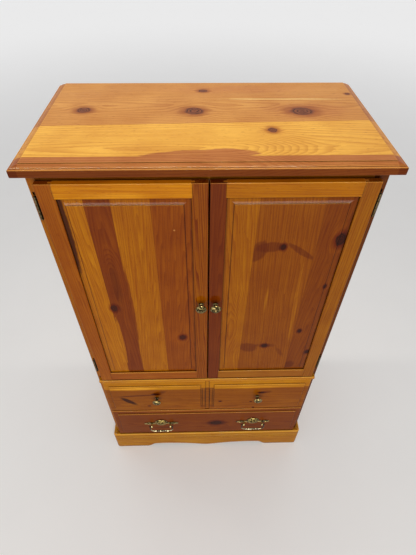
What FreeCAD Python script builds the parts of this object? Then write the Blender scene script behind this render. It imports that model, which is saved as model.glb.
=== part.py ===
import FreeCAD, Part
import math
import os

# TV armoire in knotty pine, lacquered: a case with two raised-panel doors over
# two drawers.  Millimetres, +Z up, +X to the viewer's right, the front faces -Y.
# The model is drawn with the front of the face frame at y = 0 and is moved at
# the end, so that the origin is on the floor, in the middle of the whole part.

V = FreeCAD.Vector

# ---- case ------------------------------------------------------------------------------------
case_width = 960.0
case_depth = 512.0
frame_thickness = 20.0
frame_stile_width = 40.0
frame_edge_radius = 3.0
side_thickness = 20.0
panel_thickness = 18.0
back_thickness = 6.0
back_rebate = 10.0
case_foot_height = 60.0

# ---- top -------------------------------------------------------------------------------------
top_width = 1000.0
top_thickness = 30.0
top_front_overhang = 38.0
top_back_overhang = 6.0
total_height = 1746.0
top_mould_width = 23.0
top_mould_step = 1.6
top_mould_drop = 5.6
top_mould_band = 6.0
top_mould_crown = 0.9
top_arris_radius = 3.0
top_under_radius = 4.0
top_cutter_overrun = 5.0
top_mould_lip = 1.0

# ---- levels of the front, from the floor up --------------------------------------------------
plinth_height = 149.0
lower_front_bottom = 152.0
lower_front_top = 405.0
upper_front_bottom = 413.0
upper_front_top = 680.0
ledge_bottom = 684.0
ledge_top = 710.0
door_bottom = 714.4
reveal_above_doors = 27.4
front_lap = 10.0
door_lap = 12.0
bottom_rail_height = 60.0

# ---- plinth ----------------------------------------------------------------------------------
plinth_front_thickness = 24.0
plinth_side_thickness = 20.0
plinth_corner_radius = 16.0
plinth_top_radius = 11.0
plinth_groove_height = 119.0
plinth_groove_width = 8.0
plinth_groove_depth = 3.0
plinth_bead_height = 98.5
plinth_bead_width = 8.6
plinth_quirk_width = 1.2
plinth_quirk_depth = 1.5
arch_height = 30.0
arch_foot = 170.0
arch_ogee = 50.0
pendant_gap = 5.0
pendant_round = 1.4
side_ogee_share = 0.8
side_arch_foot = 110.0
block_size = 45.0
rear_block_setback = 27.0

# ---- waist ledge -----------------------------------------------------------------------------
ledge_half_length = 470.0
ledge_depth = 25.0
ledge_cove = 12.0
ledge_cove_sink = 3.2
ledge_lip_width = 2.0
ledge_lip_rise = 3.0
ledge_nose_height = 18.0
ledge_radius = 5.0

# ---- doors -----------------------------------------------------------------------------------
door_edge = 457.0
door_thickness = 19.0
meeting_gap = 3.8
hinge_stile_width = 47.5
meeting_stile_width = 46.1
door_top_rail_height = 47.6
door_bottom_rail_height = 53.6
sticking_radius = 3.5
door_edge_radius = 2.5
groove_depth = 10.0
groove_width = 6.0
groove_from_back = 6.6
tongue_room = 2.0
panel_proud = 3.6
panel_bevel_width = 21.5
panel_bevel_step = 1.2
panel_bevel_flat = 3.0
panel_bevel_hollow = 0.35
tenon_room = 0.2

# ---- butt hinges -----------------------------------------------------------------------------
hinge_length = 75.0
hinge_from_end = 86.0
barrel_radius = 3.8
barrel_x = 470.0
barrel_y = -5.4
leaf_thickness = 1.6
leaf_gap = 0.2
leaf_inner = 441.0
leaf_to_barrel = 4.8
knuckles = 5
knuckle_gap = 0.3
pin_radius = 2.25
pin_clearance = 0.05
pin_cap_radius = 3.3
pin_cap_height = 1.4
pin_cap_chamfer = 0.8
hinge_screw_x = 448.5
hinge_screw_spacing = 26.0
hinge_screw_count = 3
hinge_screw_radius = 1.75
hinge_screw_head = 3.3
hinge_screw_length = 14.0
hinge_screw_room = 0.05
pocket_width = 7.0
pocket_height = 10.0
pocket_depth = 4.0
pocket_gap = 1.0

# ---- knobs -----------------------------------------------------------------------------------
knob_radius = 19.0
knob_projection = 32.0
knob_foot_radius = 8.5
knob_neck_radius = 5.0
knob_foot_cove = 0.8
knob_rim = 1.0
door_knob_height = 1206.0
drawer_knob_x = 234.0
drawer_knob_height = 541.0
knob_screw_radius = 2.0
knob_screw_room = 0.1
knob_screw_depth = 10.0
screw_head_radius = 4.0
screw_head_height = 2.4
screw_head_chamfer = 0.8
petals = 10
petal_circle = 12.0
petal_radius = 2.4
petal_depth = 1.0
petal_dish_lift = 0.8
knob_dish_share = 0.893

# ---- magnetic catches ------------------------------------------------------------------------
catch_inner = 14.0
catch_width = 30.0
catch_height = 18.0
catch_depth = 24.0
catch_edge_radius = 1.5
strike_thickness = 1.0
strike_gap = 0.3

# ---- drawer fronts ---------------------------------------------------------------------------
front_half_width = 465.0
front_gap = 1.0
lip_thickness = 15.5
field_proud = 4.5
lip_width = 24.0
upper_lip_top = 34.0
lower_lip_top = 28.0
lip_radius = 4.0
field_radius = 3.5
middle_groove_half = 10.3
middle_strip_half = 30.5
middle_groove_depth = 3.5

# ---- drawer boxes ----------------------------------------------------------------------------
box_wall = 12.0
box_side_room = 5.0
box_depth = 432.0
box_dado = 8.0
box_bottom_thickness = 6.0
box_bottom_groove = 5.0
box_bottom_lift = 10.0
box_head_room = 8.0
box_edge_radius = 2.0
runner_above_rail = 4.0
runner_gap = 0.3
runner_height = 20.0
runner_guide_height = 12.0
runner_guide_gap = 0.8
runner_under_box = 11.0
runner_end_room = 16.0
drawer_travel = 360.0
stop_width = 22.0
stop_bite = 12.0
stop_room = 1.0
stop_top_room = 2.0

# ---- bail pulls ------------------------------------------------------------------------------
pull_x = 234.5
post_height = 277.0
post_spacing = 95.0
post_reach = 18.0
post_neck_radius = 3.2
post_shank_radius = 2.0
post_eye_radius = 5.5
nut_radius = 4.6
nut_thickness = 3.2
nut_end = 1.5
nut_room = 0.05
plate_thickness = 2.0
fan_radius = 31.0
fan_rise = 8.0
fan_dome_radius = 28.0
fan_dome_height = 10.0
fan_flutes = 7
flute_radius = 1.5
flute_start_share = 0.25
flute_inner_lift = 0.6
flute_outer_lift = 1.2
wing_half_length = 62.0
wing_half_height = 8.5
wing_disc_radius = 13.0
boss_x = 66.0
boss_radius = 6.0
boss_height = 4.5
tip_x = 78.5
tip_radius = 7.5
lobe_radius = 16.0
lobe_drop = 6.0
bail_pin_radius = 1.5
bail_pin_clearance = 0.06
bail_arm_x = 56.5
bail_arm_radius = 2.7
bail_elbow_radius = 3.2
bail_bend_radius = 20.0
bail_drop = 51.0
bead_count = 6
bead_radius = 4.8
bead_neck_radius = 2.7
bail_pin_inner = 43.0

# ---- inside ----------------------------------------------------------------------------------
cable_hole_radius = 32.0
cable_hole_height = 1060.0
shelf_height = 1400.0
shelf_side_room = 1.5
shelf_front_setback = 30.0
shelf_back_room = 14.0
shelf_edge_radius = 2.0
shelf_pin_radius = 2.5
shelf_pin_reach = 12.0
shelf_pin_hole_depth = 10.0
shelf_pin_collar_radius = 4.5
shelf_pin_collar = 1.5
shelf_pin_room = 0.05
shelf_pin_end_room = 0.5
collar_end_room = 0.3
collar_side_room = 0.5
shelf_hole_pitch = 50.0
shelf_hole_rows = 5
shelf_hole_front = 72.0
shelf_hole_back = 432.0
cleat_size = 20.0
cleat_front = 30.0
cleat_back_room = 26.0
top_screw_radius = 2.0
top_screw_head = 4.0
top_screw_head_height = 2.4
top_screw_length = 40.0
top_screw_room = 0.05
top_screws_per_cleat = 3
top_screw_end = 45.0

# ---- how far a cutter runs past what it cuts, and how close two equal places are -------------
overrun = 1.0
same_place = 0.001

# ---- sizes that follow -----------------------------------------------------------------------
case_half = case_width / 2
case_inner = case_half - side_thickness
opening_half = case_half - frame_stile_width
top_half = top_width / 2
slab_bottom = total_height - top_thickness
top_front = -top_front_overhang
top_back = case_depth + top_back_overhang
back_front = case_depth - back_thickness
door_top = slab_bottom - reveal_above_doors
door_back = -(2 * leaf_thickness + leaf_gap)
door_front = door_back - door_thickness
meeting_edge = meeting_gap / 2
lower_opening_bottom = lower_front_bottom + front_lap
lower_opening_top = lower_front_top - front_lap
upper_opening_bottom = upper_front_bottom + front_lap
upper_opening_top = upper_front_top - front_lap
door_opening_bottom = door_bottom + door_lap
door_opening_top = door_top - door_lap
front_back = -front_gap
lip_face = front_back - lip_thickness
field_face = lip_face - field_proud
box_half = opening_half - box_side_room
box_back = front_back + box_depth
knob_front = min(door_front, field_face) - knob_projection
origin_y = (knob_front + top_back) / 2


# ---- how shapes are made ---------------------------------------------------------------------
def block(x0, x1, y0, y1, z0, z1):
    """A straight-edged board between two corners."""
    return Part.makeBox(x1 - x0, y1 - y0, z1 - z0, V(x0, y0, z0))


def rod(radius, x, y, z, along, length):
    """A round bar that starts at a point and runs along a direction."""
    return Part.makeCylinder(radius, length, V(x, y, z), V(*along))


def outline(path, place):
    """A flat face: a pair is a corner, four numbers are a curve's middle and its end."""
    edges = []
    at = place(*path[0])
    for step in path[1:]:
        end = place(*step[-2:])
        if len(step) == 4:
            edges.append(Part.Arc(at, place(*step[:2]), end).toShape())
        else:
            edges.append(Part.makeLine(at, end))
        at = end
    edges.append(Part.makeLine(at, place(*path[0])))
    return Part.Face(Part.Wire(edges))


def turned(path, x, y, z, along):
    """A lathe-turned piece: the path gives radius and distance along its axis."""
    axis = V(*along)
    out = V(0, 0, 1) if abs(axis.z) < 0.5 else V(1, 0, 0)
    foot = V(x, y, z)
    face = outline(path, lambda r, d: foot + out * r + axis * d)
    return face.revolve(foot, axis, 360)


def cap(radius, low, high):
    """A path's last step: a ball's cap that starts at a radius and ends on the axis."""
    rise = high - low
    ball = (radius ** 2 + rise ** 2) / (2 * rise)
    half = radius / 2
    return (half, high - ball + math.sqrt(ball ** 2 - half ** 2), 0.0, high)


def joined(shapes):
    """Several shapes glued into one solid."""
    whole = shapes[0].fuse(shapes[1:]).removeSplitter()
    return whole.Solids[0] if len(whole.Solids) == 1 else whole


def without(shape, cutters):
    """A shape with other shapes taken away."""
    return shape.cut(cutters)


def mirrored(shape):
    """The same shape on the other side of the middle."""
    return shape.mirror(V(0, 0, 0), V(1, 0, 0))


def both_sides(shapes):
    """Shapes of the right side, with their mirror images."""
    return shapes + [mirrored(shape) for shape in shapes]


def eased(shape, radius, chosen):
    """Rounds the straight edges whose two ends both pass the test."""
    edges = []
    for edge in shape.Edges:
        ends = [vertex.Point for vertex in edge.Vertexes]
        if len(ends) == 2 and all(chosen(point) for point in ends):
            edges.append(edge)
    return shape.makeFillet(radius, edges)


def near(value, target):
    return abs(value - target) < same_place


def eased_front(shape, y, radius):
    """Rounds the arrises around a board's front face."""
    return eased(shape, radius, lambda point: near(point.y, y))


nodes = {}


def add(name, shapes):
    """Keeps a node: one solid, or a group of separate ones."""
    nodes[name] = shapes if isinstance(shapes, list) else [shapes]


# ---- top -------------------------------------------------------------------------------------
def top_mould(place, along):
    """What the cutter takes off the top's edge: a step, a crowned slope and a rounded arris."""
    high = total_height
    slope_end = high - top_mould_drop
    band_end = slope_end - top_mould_lip
    middle = (top_mould_width + top_mould_band) / 2
    crown = (high - top_mould_step + slope_end) / 2 + top_mould_crown
    bend = top_arris_radius * (1 - math.sqrt(0.5))
    path = [
        (-overrun, high + overrun),
        (top_mould_width, high + overrun),
        (top_mould_width, high - top_mould_step),
        (middle, crown, top_mould_band, slope_end),
        (top_mould_band, band_end),
        (top_arris_radius, band_end),
        (bend, band_end - bend, 0.0, band_end - top_arris_radius),
        (-overrun, band_end - top_arris_radius),
    ]
    return outline(path, place).extrude(along)


def under_round(place, along):
    """The rounding of the top's lower edge."""
    bend = top_under_radius * (1 - math.sqrt(0.5))
    path = [
        (-overrun, slab_bottom - overrun),
        (top_under_radius, slab_bottom - overrun),
        (top_under_radius, slab_bottom),
        (bend, slab_bottom + bend, 0.0, slab_bottom + top_under_radius),
        (-overrun, slab_bottom + top_under_radius),
    ]
    return outline(path, place).extrude(along)


def on_front(d, z):
    return V(-top_half - top_cutter_overrun, top_front + d, z)


def on_end(d, z):
    return V(top_half - d, top_front - top_cutter_overrun, z)


front_cut_run = top_width + 2 * top_cutter_overrun
end_cut_run = top_back - top_front + 2 * top_cutter_overrun
top_cuts = []
for cutter in (top_mould, under_round):
    top_cuts.append(cutter(on_front, V(front_cut_run, 0, 0)))
    top_cuts += both_sides([cutter(on_end, V(0, end_cut_run, 0))])

slab = block(-top_half, top_half, top_front, top_back, slab_bottom, total_height)
slab = without(slab, top_cuts)

cleat_length = back_front - cleat_back_room - cleat_front
cleats = both_sides([
    block(case_inner - cleat_size, case_inner, cleat_front, cleat_front + cleat_length,
          slab_bottom - cleat_size, slab_bottom)
])
top_screws = []
top_screw_holes = []
for index in range(top_screws_per_cleat):
    step = (cleat_length - 2 * top_screw_end) / (top_screws_per_cleat - 1)
    y = cleat_front + top_screw_end + index * step
    x = case_inner - cleat_size / 2
    z = slab_bottom - cleat_size
    room = top_screw_room
    path = [
        (0.0, 0.0),
        (top_screw_head, 0.0),
        (top_screw_radius, top_screw_head_height),
        (top_screw_radius, top_screw_length),
        (0.0, top_screw_length + top_screw_radius),
    ]
    hole = [
        (0.0, -overrun),
        (top_screw_head + room, -overrun),
        (top_screw_head + room, 0.0),
        (top_screw_radius + room, top_screw_head_height),
        (top_screw_radius + room, top_screw_length),
        (0.0, top_screw_length + top_screw_radius + room),
    ]
    top_screws.append(turned(path, x, y, z, (0, 0, 1)))
    top_screw_holes.append(turned(hole, x, y, z, (0, 0, 1)))
top_screws = both_sides(top_screws)
top_screw_holes = both_sides(top_screw_holes)
add("top_panel", without(slab, top_screw_holes))
add("top_cleats", [without(cleat, top_screw_holes) for cleat in cleats])
add("top_screws", top_screws)

# ---- case sides, with the rebate for the back and the shelf's rows of holes ------------------
base_top = lower_opening_bottom
base_bottom = base_top - panel_thickness
side_cuts = [
    block(case_inner - overrun, case_inner + back_rebate, back_front, case_depth + overrun,
          base_bottom, slab_bottom + overrun)
]
for y in (shelf_hole_front, shelf_hole_back):
    for row in range(shelf_hole_rows):
        z = shelf_height - shelf_pin_radius - shelf_pin_room + (row - shelf_hole_rows // 2) * shelf_hole_pitch
        side_cuts.append(rod(shelf_pin_radius + shelf_pin_room, case_inner - overrun, y, z, (1, 0, 0),
                             shelf_pin_hole_depth + overrun))
side = block(case_inner, case_half, frame_thickness, case_depth, case_foot_height, slab_bottom)
side = without(side, side_cuts)
add("right_side_panel", side)
add("left_side_panel", mirrored(side))

shelf_pins = []
for y in (shelf_hole_front, shelf_hole_back):
    path = [
        (0.0, 0.0),
        (shelf_pin_radius, 0.0),
        (shelf_pin_radius, shelf_pin_reach - shelf_pin_collar),
        (shelf_pin_collar_radius, shelf_pin_reach - shelf_pin_collar),
        (shelf_pin_collar_radius, shelf_pin_reach),
        (shelf_pin_radius, shelf_pin_reach),
        (shelf_pin_radius, shelf_pin_reach + shelf_pin_hole_depth - shelf_pin_end_room),
        (0.0, shelf_pin_reach + shelf_pin_hole_depth - shelf_pin_end_room),
    ]
    z = shelf_height - shelf_pin_radius - shelf_pin_room
    shelf_pins.append(turned(path, case_inner - shelf_pin_reach, y, z, (1, 0, 0)))
add("shelf_pins", both_sides(shelf_pins))
shelf_half = case_inner - shelf_side_room
shelf_board = block(-shelf_half, shelf_half, shelf_front_setback, back_front - shelf_back_room,
                    shelf_height, shelf_height + panel_thickness)
collar_notches = []
for y in (shelf_hole_front, shelf_hole_back):
    collar_notches.append(
        block(case_inner - shelf_pin_collar - collar_end_room, case_inner,
              y - shelf_pin_collar_radius - collar_side_room, y + shelf_pin_collar_radius + collar_side_room,
              shelf_height - overrun, shelf_height + shelf_pin_radius)
    )
shelf_board = eased(shelf_board, shelf_edge_radius, lambda point: near(point.y, shelf_front_setback))
add("tv_shelf", without(shelf_board, both_sides(collar_notches)))

deck_top = door_opening_bottom
add("tv_deck", block(-case_inner, case_inner, frame_thickness, back_front,
                     deck_top - panel_thickness, deck_top))
add("base_panel", block(-case_inner, case_inner, frame_thickness, back_front, base_bottom, base_top))

back = block(-case_inner - back_rebate, case_inner + back_rebate, back_front, case_depth,
             base_bottom, slab_bottom)
cable_hole = rod(cable_hole_radius, 0, back_front - overrun, cable_hole_height, (0, 1, 0),
                 back_thickness + 2 * overrun)
add("back_panel", without(back, [cable_hole]))

# ---- butt hinges: where they are, and what they take out of the wood -------------------------
hinge_heights = (door_bottom + hinge_from_end, door_top - hinge_from_end)
leaf_outer = barrel_x - leaf_to_barrel
knuckle_length = (hinge_length - (knuckles - 1) * knuckle_gap) / knuckles


def hinge_leaf(middle, y0, y1, first):
    """A leaf with its share of the knuckles; y0 and y1 are the faces of the plate."""
    low = middle - hinge_length / 2
    pieces = [block(leaf_inner, leaf_outer, y0, y1, low, low + hinge_length)]
    web_inner = barrel_x - barrel_radius
    for index in range(first, knuckles, 2):
        z = low + index * (knuckle_length + knuckle_gap)
        pieces.append(block(leaf_outer, barrel_x, y0, y1, z, z + knuckle_length))
        pieces.append(block(web_inner, barrel_x, barrel_y, y1, z, z + knuckle_length))
        pieces.append(rod(barrel_radius, barrel_x, barrel_y, z, (0, 0, 1), knuckle_length))
    bore = rod(pin_radius + pin_clearance, barrel_x, barrel_y, low - overrun, (0, 0, 1),
               hinge_length + 2 * overrun)
    return without(joined(pieces), [bore])


def hinge_pin(middle):
    """A loose pin with a button on each end of the barrel."""
    low = middle - hinge_length / 2
    path = [
        (0.0, -pin_cap_height),
        (pin_cap_radius - pin_cap_chamfer, -pin_cap_height),
        (pin_cap_radius, -pin_cap_height + pin_cap_chamfer),
        (pin_cap_radius, 0.0),
        (pin_radius, 0.0),
        (pin_radius, hinge_length),
        (pin_cap_radius, hinge_length),
        (pin_cap_radius, hinge_length + pin_cap_height - pin_cap_chamfer),
        (pin_cap_radius - pin_cap_chamfer, hinge_length + pin_cap_height),
        (0.0, hinge_length + pin_cap_height),
    ]
    return turned(path, barrel_x, barrel_y, low, (0, 0, 1))


def hinge_screws(middle, y, inward, room):
    """Countersunk screws of one leaf, with their heads in the leaf's outer face."""
    shapes = []
    for index in range(hinge_screw_count):
        z = middle + (index - (hinge_screw_count - 1) / 2) * hinge_screw_spacing
        path = [(0.0, -room), (hinge_screw_head + room, -room)] if room else [(0.0, 0.0)]
        path += [
            (hinge_screw_head + room, 0.0),
            (hinge_screw_radius + room, leaf_thickness),
            (hinge_screw_radius + room, hinge_screw_length),
            (0.0, hinge_screw_length + hinge_screw_radius + room),
        ]
        shapes.append(turned(path, hinge_screw_x, y, z, (0, inward, 0)))
    return shapes


case_leaf_front = -leaf_thickness
door_leaf_front = door_back + leaf_thickness
case_leaves = []
door_leaves = []
pins = []
case_screws = []
case_screw_holes = []
door_screws = []
door_screw_holes = []
pockets = []
for middle in hinge_heights:
    case_screws += hinge_screws(middle, case_leaf_front, 1, 0)
    case_screw_holes += hinge_screws(middle, case_leaf_front, 1, hinge_screw_room)
    door_screws += hinge_screws(middle, door_leaf_front, -1, 0)
    door_screw_holes += hinge_screws(middle, door_leaf_front, -1, hinge_screw_room)
    case_leaves.append(hinge_leaf(middle, case_leaf_front, 0.0, 0))
    door_leaves.append(hinge_leaf(middle, door_back, door_leaf_front, 1))
    pins.append(hinge_pin(middle))
    pocket_low = middle + hinge_length / 2 + pin_cap_height + pocket_gap
    pockets.append(block(barrel_x - pocket_width / 2, barrel_x + pocket_width / 2, -overrun, pocket_depth,
                         pocket_low, pocket_low + pocket_height))
case_leaves = [without(leaf, case_screw_holes) for leaf in case_leaves]
door_leaves = [without(leaf, door_screw_holes) for leaf in door_leaves]
add("case_hinge_leaves", both_sides(case_leaves))
add("hinge_pins", both_sides(pins))
add("case_hinge_screws", both_sides(case_screws))

# ---- face frame ------------------------------------------------------------------------------
frame_stile = block(opening_half, case_half, 0, frame_thickness, case_foot_height, slab_bottom)
frame_stile = eased(frame_stile, frame_edge_radius,
                    lambda point: near(point.x, case_half) and near(point.y, 0))
frame_stile = without(frame_stile, pockets + case_screw_holes)
add("frame_stiles", both_sides([frame_stile]))


def frame_rail(z0, z1):
    return block(-opening_half, opening_half, 0, frame_thickness, z0, z1)


add("frame_top_rail", frame_rail(door_opening_top, slab_bottom))
add("frame_waist_rail", frame_rail(upper_opening_top, door_opening_bottom))
add("frame_drawer_rail", frame_rail(lower_opening_top, upper_opening_bottom))
add("frame_bottom_rail", frame_rail(lower_opening_bottom - bottom_rail_height, lower_opening_bottom))

# ---- waist ledge: a nosing with a cove under it ----------------------------------------------
nose_bottom = ledge_top - ledge_nose_height
cove_end = -ledge_depth + ledge_cove
soft = ledge_radius * (1 - math.sqrt(0.5))
ledge_path = [
    (0.0, ledge_bottom),
    (cove_end, ledge_bottom),
    (cove_end - ledge_cove_sink, nose_bottom - ledge_cove_sink, -ledge_depth + ledge_lip_width, nose_bottom),
    (-ledge_depth + 0.3 * ledge_lip_width, nose_bottom + ledge_lip_rise / 3,
     -ledge_depth, nose_bottom + ledge_lip_rise),
    (-ledge_depth, ledge_top - ledge_radius),
    (-ledge_depth + soft, ledge_top - soft, -ledge_depth + ledge_radius, ledge_top),
    (0.0, ledge_top),
]
ledge_face = outline(ledge_path, lambda y, z: V(-ledge_half_length, y, z))
add("waist_ledge", ledge_face.extrude(V(2 * ledge_half_length, 0, 0)))

# ---- plinth: a moulded board round three sides, scalloped below ------------------------------
plinth_out = case_half + plinth_side_thickness


def plinth_path(back):
    """The plinth's section: d is the distance in from the outer face, then the height."""
    groove_low = plinth_groove_height - plinth_groove_width / 2
    groove_high = plinth_groove_height + plinth_groove_width / 2
    bead_low = plinth_bead_height - plinth_bead_width / 2
    bead_high = plinth_bead_height + plinth_bead_width / 2
    bend = plinth_top_radius * (1 - math.sqrt(0.5))
    return [
        (back, 0.0),
        (0.0, 0.0),
        (0.0, bead_low - plinth_quirk_width),
        (plinth_quirk_depth, bead_low),
        (0.0, plinth_bead_height, plinth_quirk_depth, bead_high),
        (0.0, bead_high + plinth_quirk_width),
        (0.0, groove_low),
        (plinth_groove_depth, plinth_groove_height, 0.0, groove_high),
        (0.0, plinth_height - plinth_top_radius),
        (bend, plinth_height - bend, plinth_top_radius, plinth_height),
        (back, plinth_height),
    ]


corner_x = plinth_out - plinth_corner_radius
corner_y = -plinth_front_thickness + plinth_corner_radius
front_run = outline(plinth_path(plinth_front_thickness),
                    lambda d, z: V(0, -plinth_front_thickness + d, z)).extrude(V(corner_x, 0, 0))
side_run = outline(plinth_path(plinth_side_thickness),
                   lambda d, z: V(plinth_out - d, corner_y, z)).extrude(V(0, case_depth - corner_y, 0))
corner_face = outline(plinth_path(plinth_corner_radius),
                      lambda d, z: V(corner_x + plinth_corner_radius - d, corner_y, z))
corner = corner_face.revolve(V(corner_x, corner_y, 0), V(0, 0, 1), -90)
fill = block(case_half, corner_x, corner_y, 0, 0, plinth_height)
half_plinth = joined([front_run, side_run, corner, fill])
mitre_slope = plinth_front_thickness / plinth_side_thickness
mitre_start = V(plinth_out + overrun, -plinth_front_thickness - mitre_slope * overrun, -overrun)
mitre = Part.Face(Part.makePolygon([
    mitre_start,
    V(case_half, 0, -overrun),
    V(case_half, case_depth + overrun, -overrun),
    V(plinth_out + overrun, case_depth + overrun, -overrun),
    mitre_start,
])).extrude(V(0, 0, plinth_height + 2 * overrun))

arch_end = plinth_out - arch_foot
arch_points = [
    V(arch_end, 0, -overrun),
    V(arch_end, 0, 0),
    V(arch_end - 0.28 * arch_ogee, 0, 0.16 * arch_height),
    V(arch_end - 0.55 * arch_ogee, 0, 0.55 * arch_height),
    V(arch_end - 0.80 * arch_ogee, 0, 0.90 * arch_height),
    V(arch_end - 1.10 * arch_ogee, 0, arch_height),
    V(0.47 * arch_end, 0, 0.93 * arch_height),
    V(0.30 * arch_end, 0, 0.72 * arch_height),
    V(0.14 * arch_end, 0, 0.40 * arch_height),
    V(0.05 * arch_end, 0, pendant_gap + pendant_round),
    V(0, 0, pendant_gap),
]
curve = Part.BSplineCurve()
curve.interpolate(arch_points[1:])
arch_wire = Part.Wire([
    Part.makeLine(V(0, 0, -overrun), arch_points[0]),
    Part.makeLine(arch_points[0], arch_points[1]),
    curve.toShape(),
    Part.makeLine(arch_points[-1], V(0, 0, -overrun)),
])
arch = Part.Face(arch_wire)
arch.translate(V(0, -plinth_front_thickness - overrun, 0))
arch = arch.extrude(V(0, plinth_front_thickness + 2 * overrun, 0))
half_front = without(half_plinth, [mitre, arch])
add("plinth_front", joined([half_front, mirrored(half_front)]))

side_arch_start = -plinth_front_thickness + side_arch_foot
side_arch_end = case_depth - side_arch_foot
ogee = arch_ogee * side_ogee_share
side_arch = outline([
    (side_arch_start, -overrun),
    (side_arch_start, 0.0),
    (side_arch_start + 0.62 * ogee, 0.22 * arch_height, side_arch_start + ogee, arch_height),
    (side_arch_end - ogee, arch_height),
    (side_arch_end - 0.62 * ogee, 0.22 * arch_height, side_arch_end, 0.0),
    (side_arch_end, -overrun),
], lambda y, z: V(case_half - overrun, y, z)).extrude(V(plinth_side_thickness + 2 * overrun, 0, 0))
side_board = without(half_plinth.common(mitre), [side_arch])
add("plinth_sides", both_sides([side_board.Solids[0]]))

blocks = []
rear_block = back_front - rear_block_setback
for y0, y1 in ((frame_thickness, frame_thickness + block_size), (rear_block - block_size, rear_block)):
    blocks.append(block(case_inner - block_size, case_inner, y0, y1, 0, base_bottom))
add("base_blocks", both_sides(blocks))

# ---- door catches ----------------------------------------------------------------------------
strike_face = door_back + strike_thickness
catch_front = strike_face + strike_gap
catch = block(catch_inner, catch_inner + catch_width, catch_front, catch_front + catch_depth,
              door_opening_top - catch_height, door_opening_top)
catch = eased(catch, catch_edge_radius, lambda point: near(point.z, door_opening_top - catch_height))
add("door_catches", both_sides([catch]))

# ---- knobs -----------------------------------------------------------------------------------
knob_path = [
    (0.0, 0.0),
    (knob_foot_radius, 0.0),
    (knob_foot_radius, 0.06 * knob_projection),
    (knob_neck_radius + knob_foot_cove, 0.14 * knob_projection, knob_neck_radius, 0.25 * knob_projection),
    (knob_neck_radius, 0.37 * knob_projection),
    (0.45 * knob_radius, 0.53 * knob_projection, 0.74 * knob_radius, 0.58 * knob_projection),
    (knob_radius - knob_rim, 0.63 * knob_projection),
    (knob_radius, 0.70 * knob_projection, knob_radius - knob_rim, 0.78 * knob_projection),
    (0.70 * knob_radius, knob_dish_share * knob_projection, 0.37 * knob_radius, 0.944 * knob_projection),
    (0.32 * knob_radius, 0.912 * knob_projection),
    (0.27 * knob_radius, 0.912 * knob_projection),
    (0.22 * knob_radius, 0.965 * knob_projection),
    cap(0.22 * knob_radius, 0.965 * knob_projection, knob_projection),
]


def knob(x, y, z):
    """A mushroom knob with a dished ring of petals, drilled for its screw."""
    body = turned(knob_path, x, y, z, (0, -1, 0))
    cuts = [rod(knob_screw_radius + knob_screw_room, x, y + overrun, z, (0, -1, 0),
                knob_screw_depth + 2 * overrun)]
    for index in range(petals):
        angle = 2 * math.pi * (index + 0.5) / petals
        dish = knob_dish_share * knob_projection + petal_radius - petal_depth + petal_dish_lift
        centre = V(x + petal_circle * math.cos(angle), y - dish, z + petal_circle * math.sin(angle))
        cuts.append(Part.makeSphere(petal_radius, centre))
    return without(body, cuts)


def knob_screw(x, face, back_face, z):
    """A machine screw from the back of the wood into the knob."""
    shank = back_face - face + knob_screw_depth
    path = [
        (0.0, -screw_head_height),
        (screw_head_radius - screw_head_chamfer, -screw_head_height),
        (screw_head_radius, -screw_head_height + screw_head_chamfer),
        (screw_head_radius, 0.0),
        (knob_screw_radius, 0.0),
        (knob_screw_radius, shank),
        (0.0, shank),
    ]
    return turned(path, x, back_face, z, (0, -1, 0))


def screw_hole(x, face, back_face, z):
    return rod(knob_screw_radius + knob_screw_room, x, back_face + overrun, z, (0, -1, 0),
               back_face - face + 2 * overrun)


# ---- doors: stiles, coped rails and a raised panel, drawn for the right side -----------------
hinge_stile_inner = door_edge - hinge_stile_width
meeting_stile_outer = meeting_edge + meeting_stile_width
groove_back = door_back - groove_from_back
groove_front = groove_back - groove_width
panel_top = door_top - door_top_rail_height
panel_bottom = door_bottom + door_bottom_rail_height
knob_x = (meeting_edge + meeting_stile_outer) / 2


def groove(x0, x1, z0, z1):
    return block(x0, x1, groove_front, groove_back, z0, z1)


def on_face(point):
    return near(point.y, door_front)


hinge_stile = block(hinge_stile_inner, door_edge, door_front, door_back, door_bottom, door_top)
hinge_stile = eased(hinge_stile, sticking_radius,
                    lambda point: on_face(point) and near(point.x, hinge_stile_inner))
hinge_stile = eased(hinge_stile, door_edge_radius,
                    lambda point: on_face(point) and near(point.x, door_edge))
hinge_stile = without(hinge_stile, door_screw_holes + [
    groove(hinge_stile_inner - overrun, hinge_stile_inner + groove_depth,
           door_bottom - overrun, door_top + overrun)
])
meeting_stile = block(meeting_edge, meeting_stile_outer, door_front, door_back, door_bottom, door_top)
meeting_stile = eased(meeting_stile, sticking_radius,
                      lambda point: on_face(point) and near(point.x, meeting_stile_outer))
meeting_stile = eased(meeting_stile, door_edge_radius,
                      lambda point: on_face(point) and near(point.x, meeting_edge))
meeting_stile = without(meeting_stile, [
    groove(meeting_stile_outer - groove_depth, meeting_stile_outer + overrun,
           door_bottom - overrun, door_top + overrun),
    screw_hole(knob_x, door_front, door_back, door_knob_height),
])


def door_rail(z0, z1, inner_z, outer_z):
    """A rail: tenons in the stiles' grooves, its ends coped over their moulding."""
    cope = sticking_radius
    body = block(meeting_stile_outer - cope, hinge_stile_inner + cope, door_front, door_back, z0, z1)
    body = eased(body, sticking_radius, lambda point: on_face(point) and near(point.z, inner_z))
    body = eased(body, door_edge_radius, lambda point: on_face(point) and near(point.z, outer_z))
    body = without(body, [hinge_stile, meeting_stile])
    keep = max(body.Solids, key=lambda solid: solid.Volume)
    reach = groove_depth - tenon_room
    tenon = groove(meeting_stile_outer - reach, hinge_stile_inner + reach, z0, z1)
    panel_side = inner_z + (groove_depth if inner_z == z0 else -groove_depth)
    low, high = sorted((panel_side, inner_z + (-overrun if inner_z == z0 else overrun)))
    slot = groove(meeting_stile_outer - groove_depth, hinge_stile_inner + groove_depth, low, high)
    return without(joined([keep, tenon]), [slot])


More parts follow.
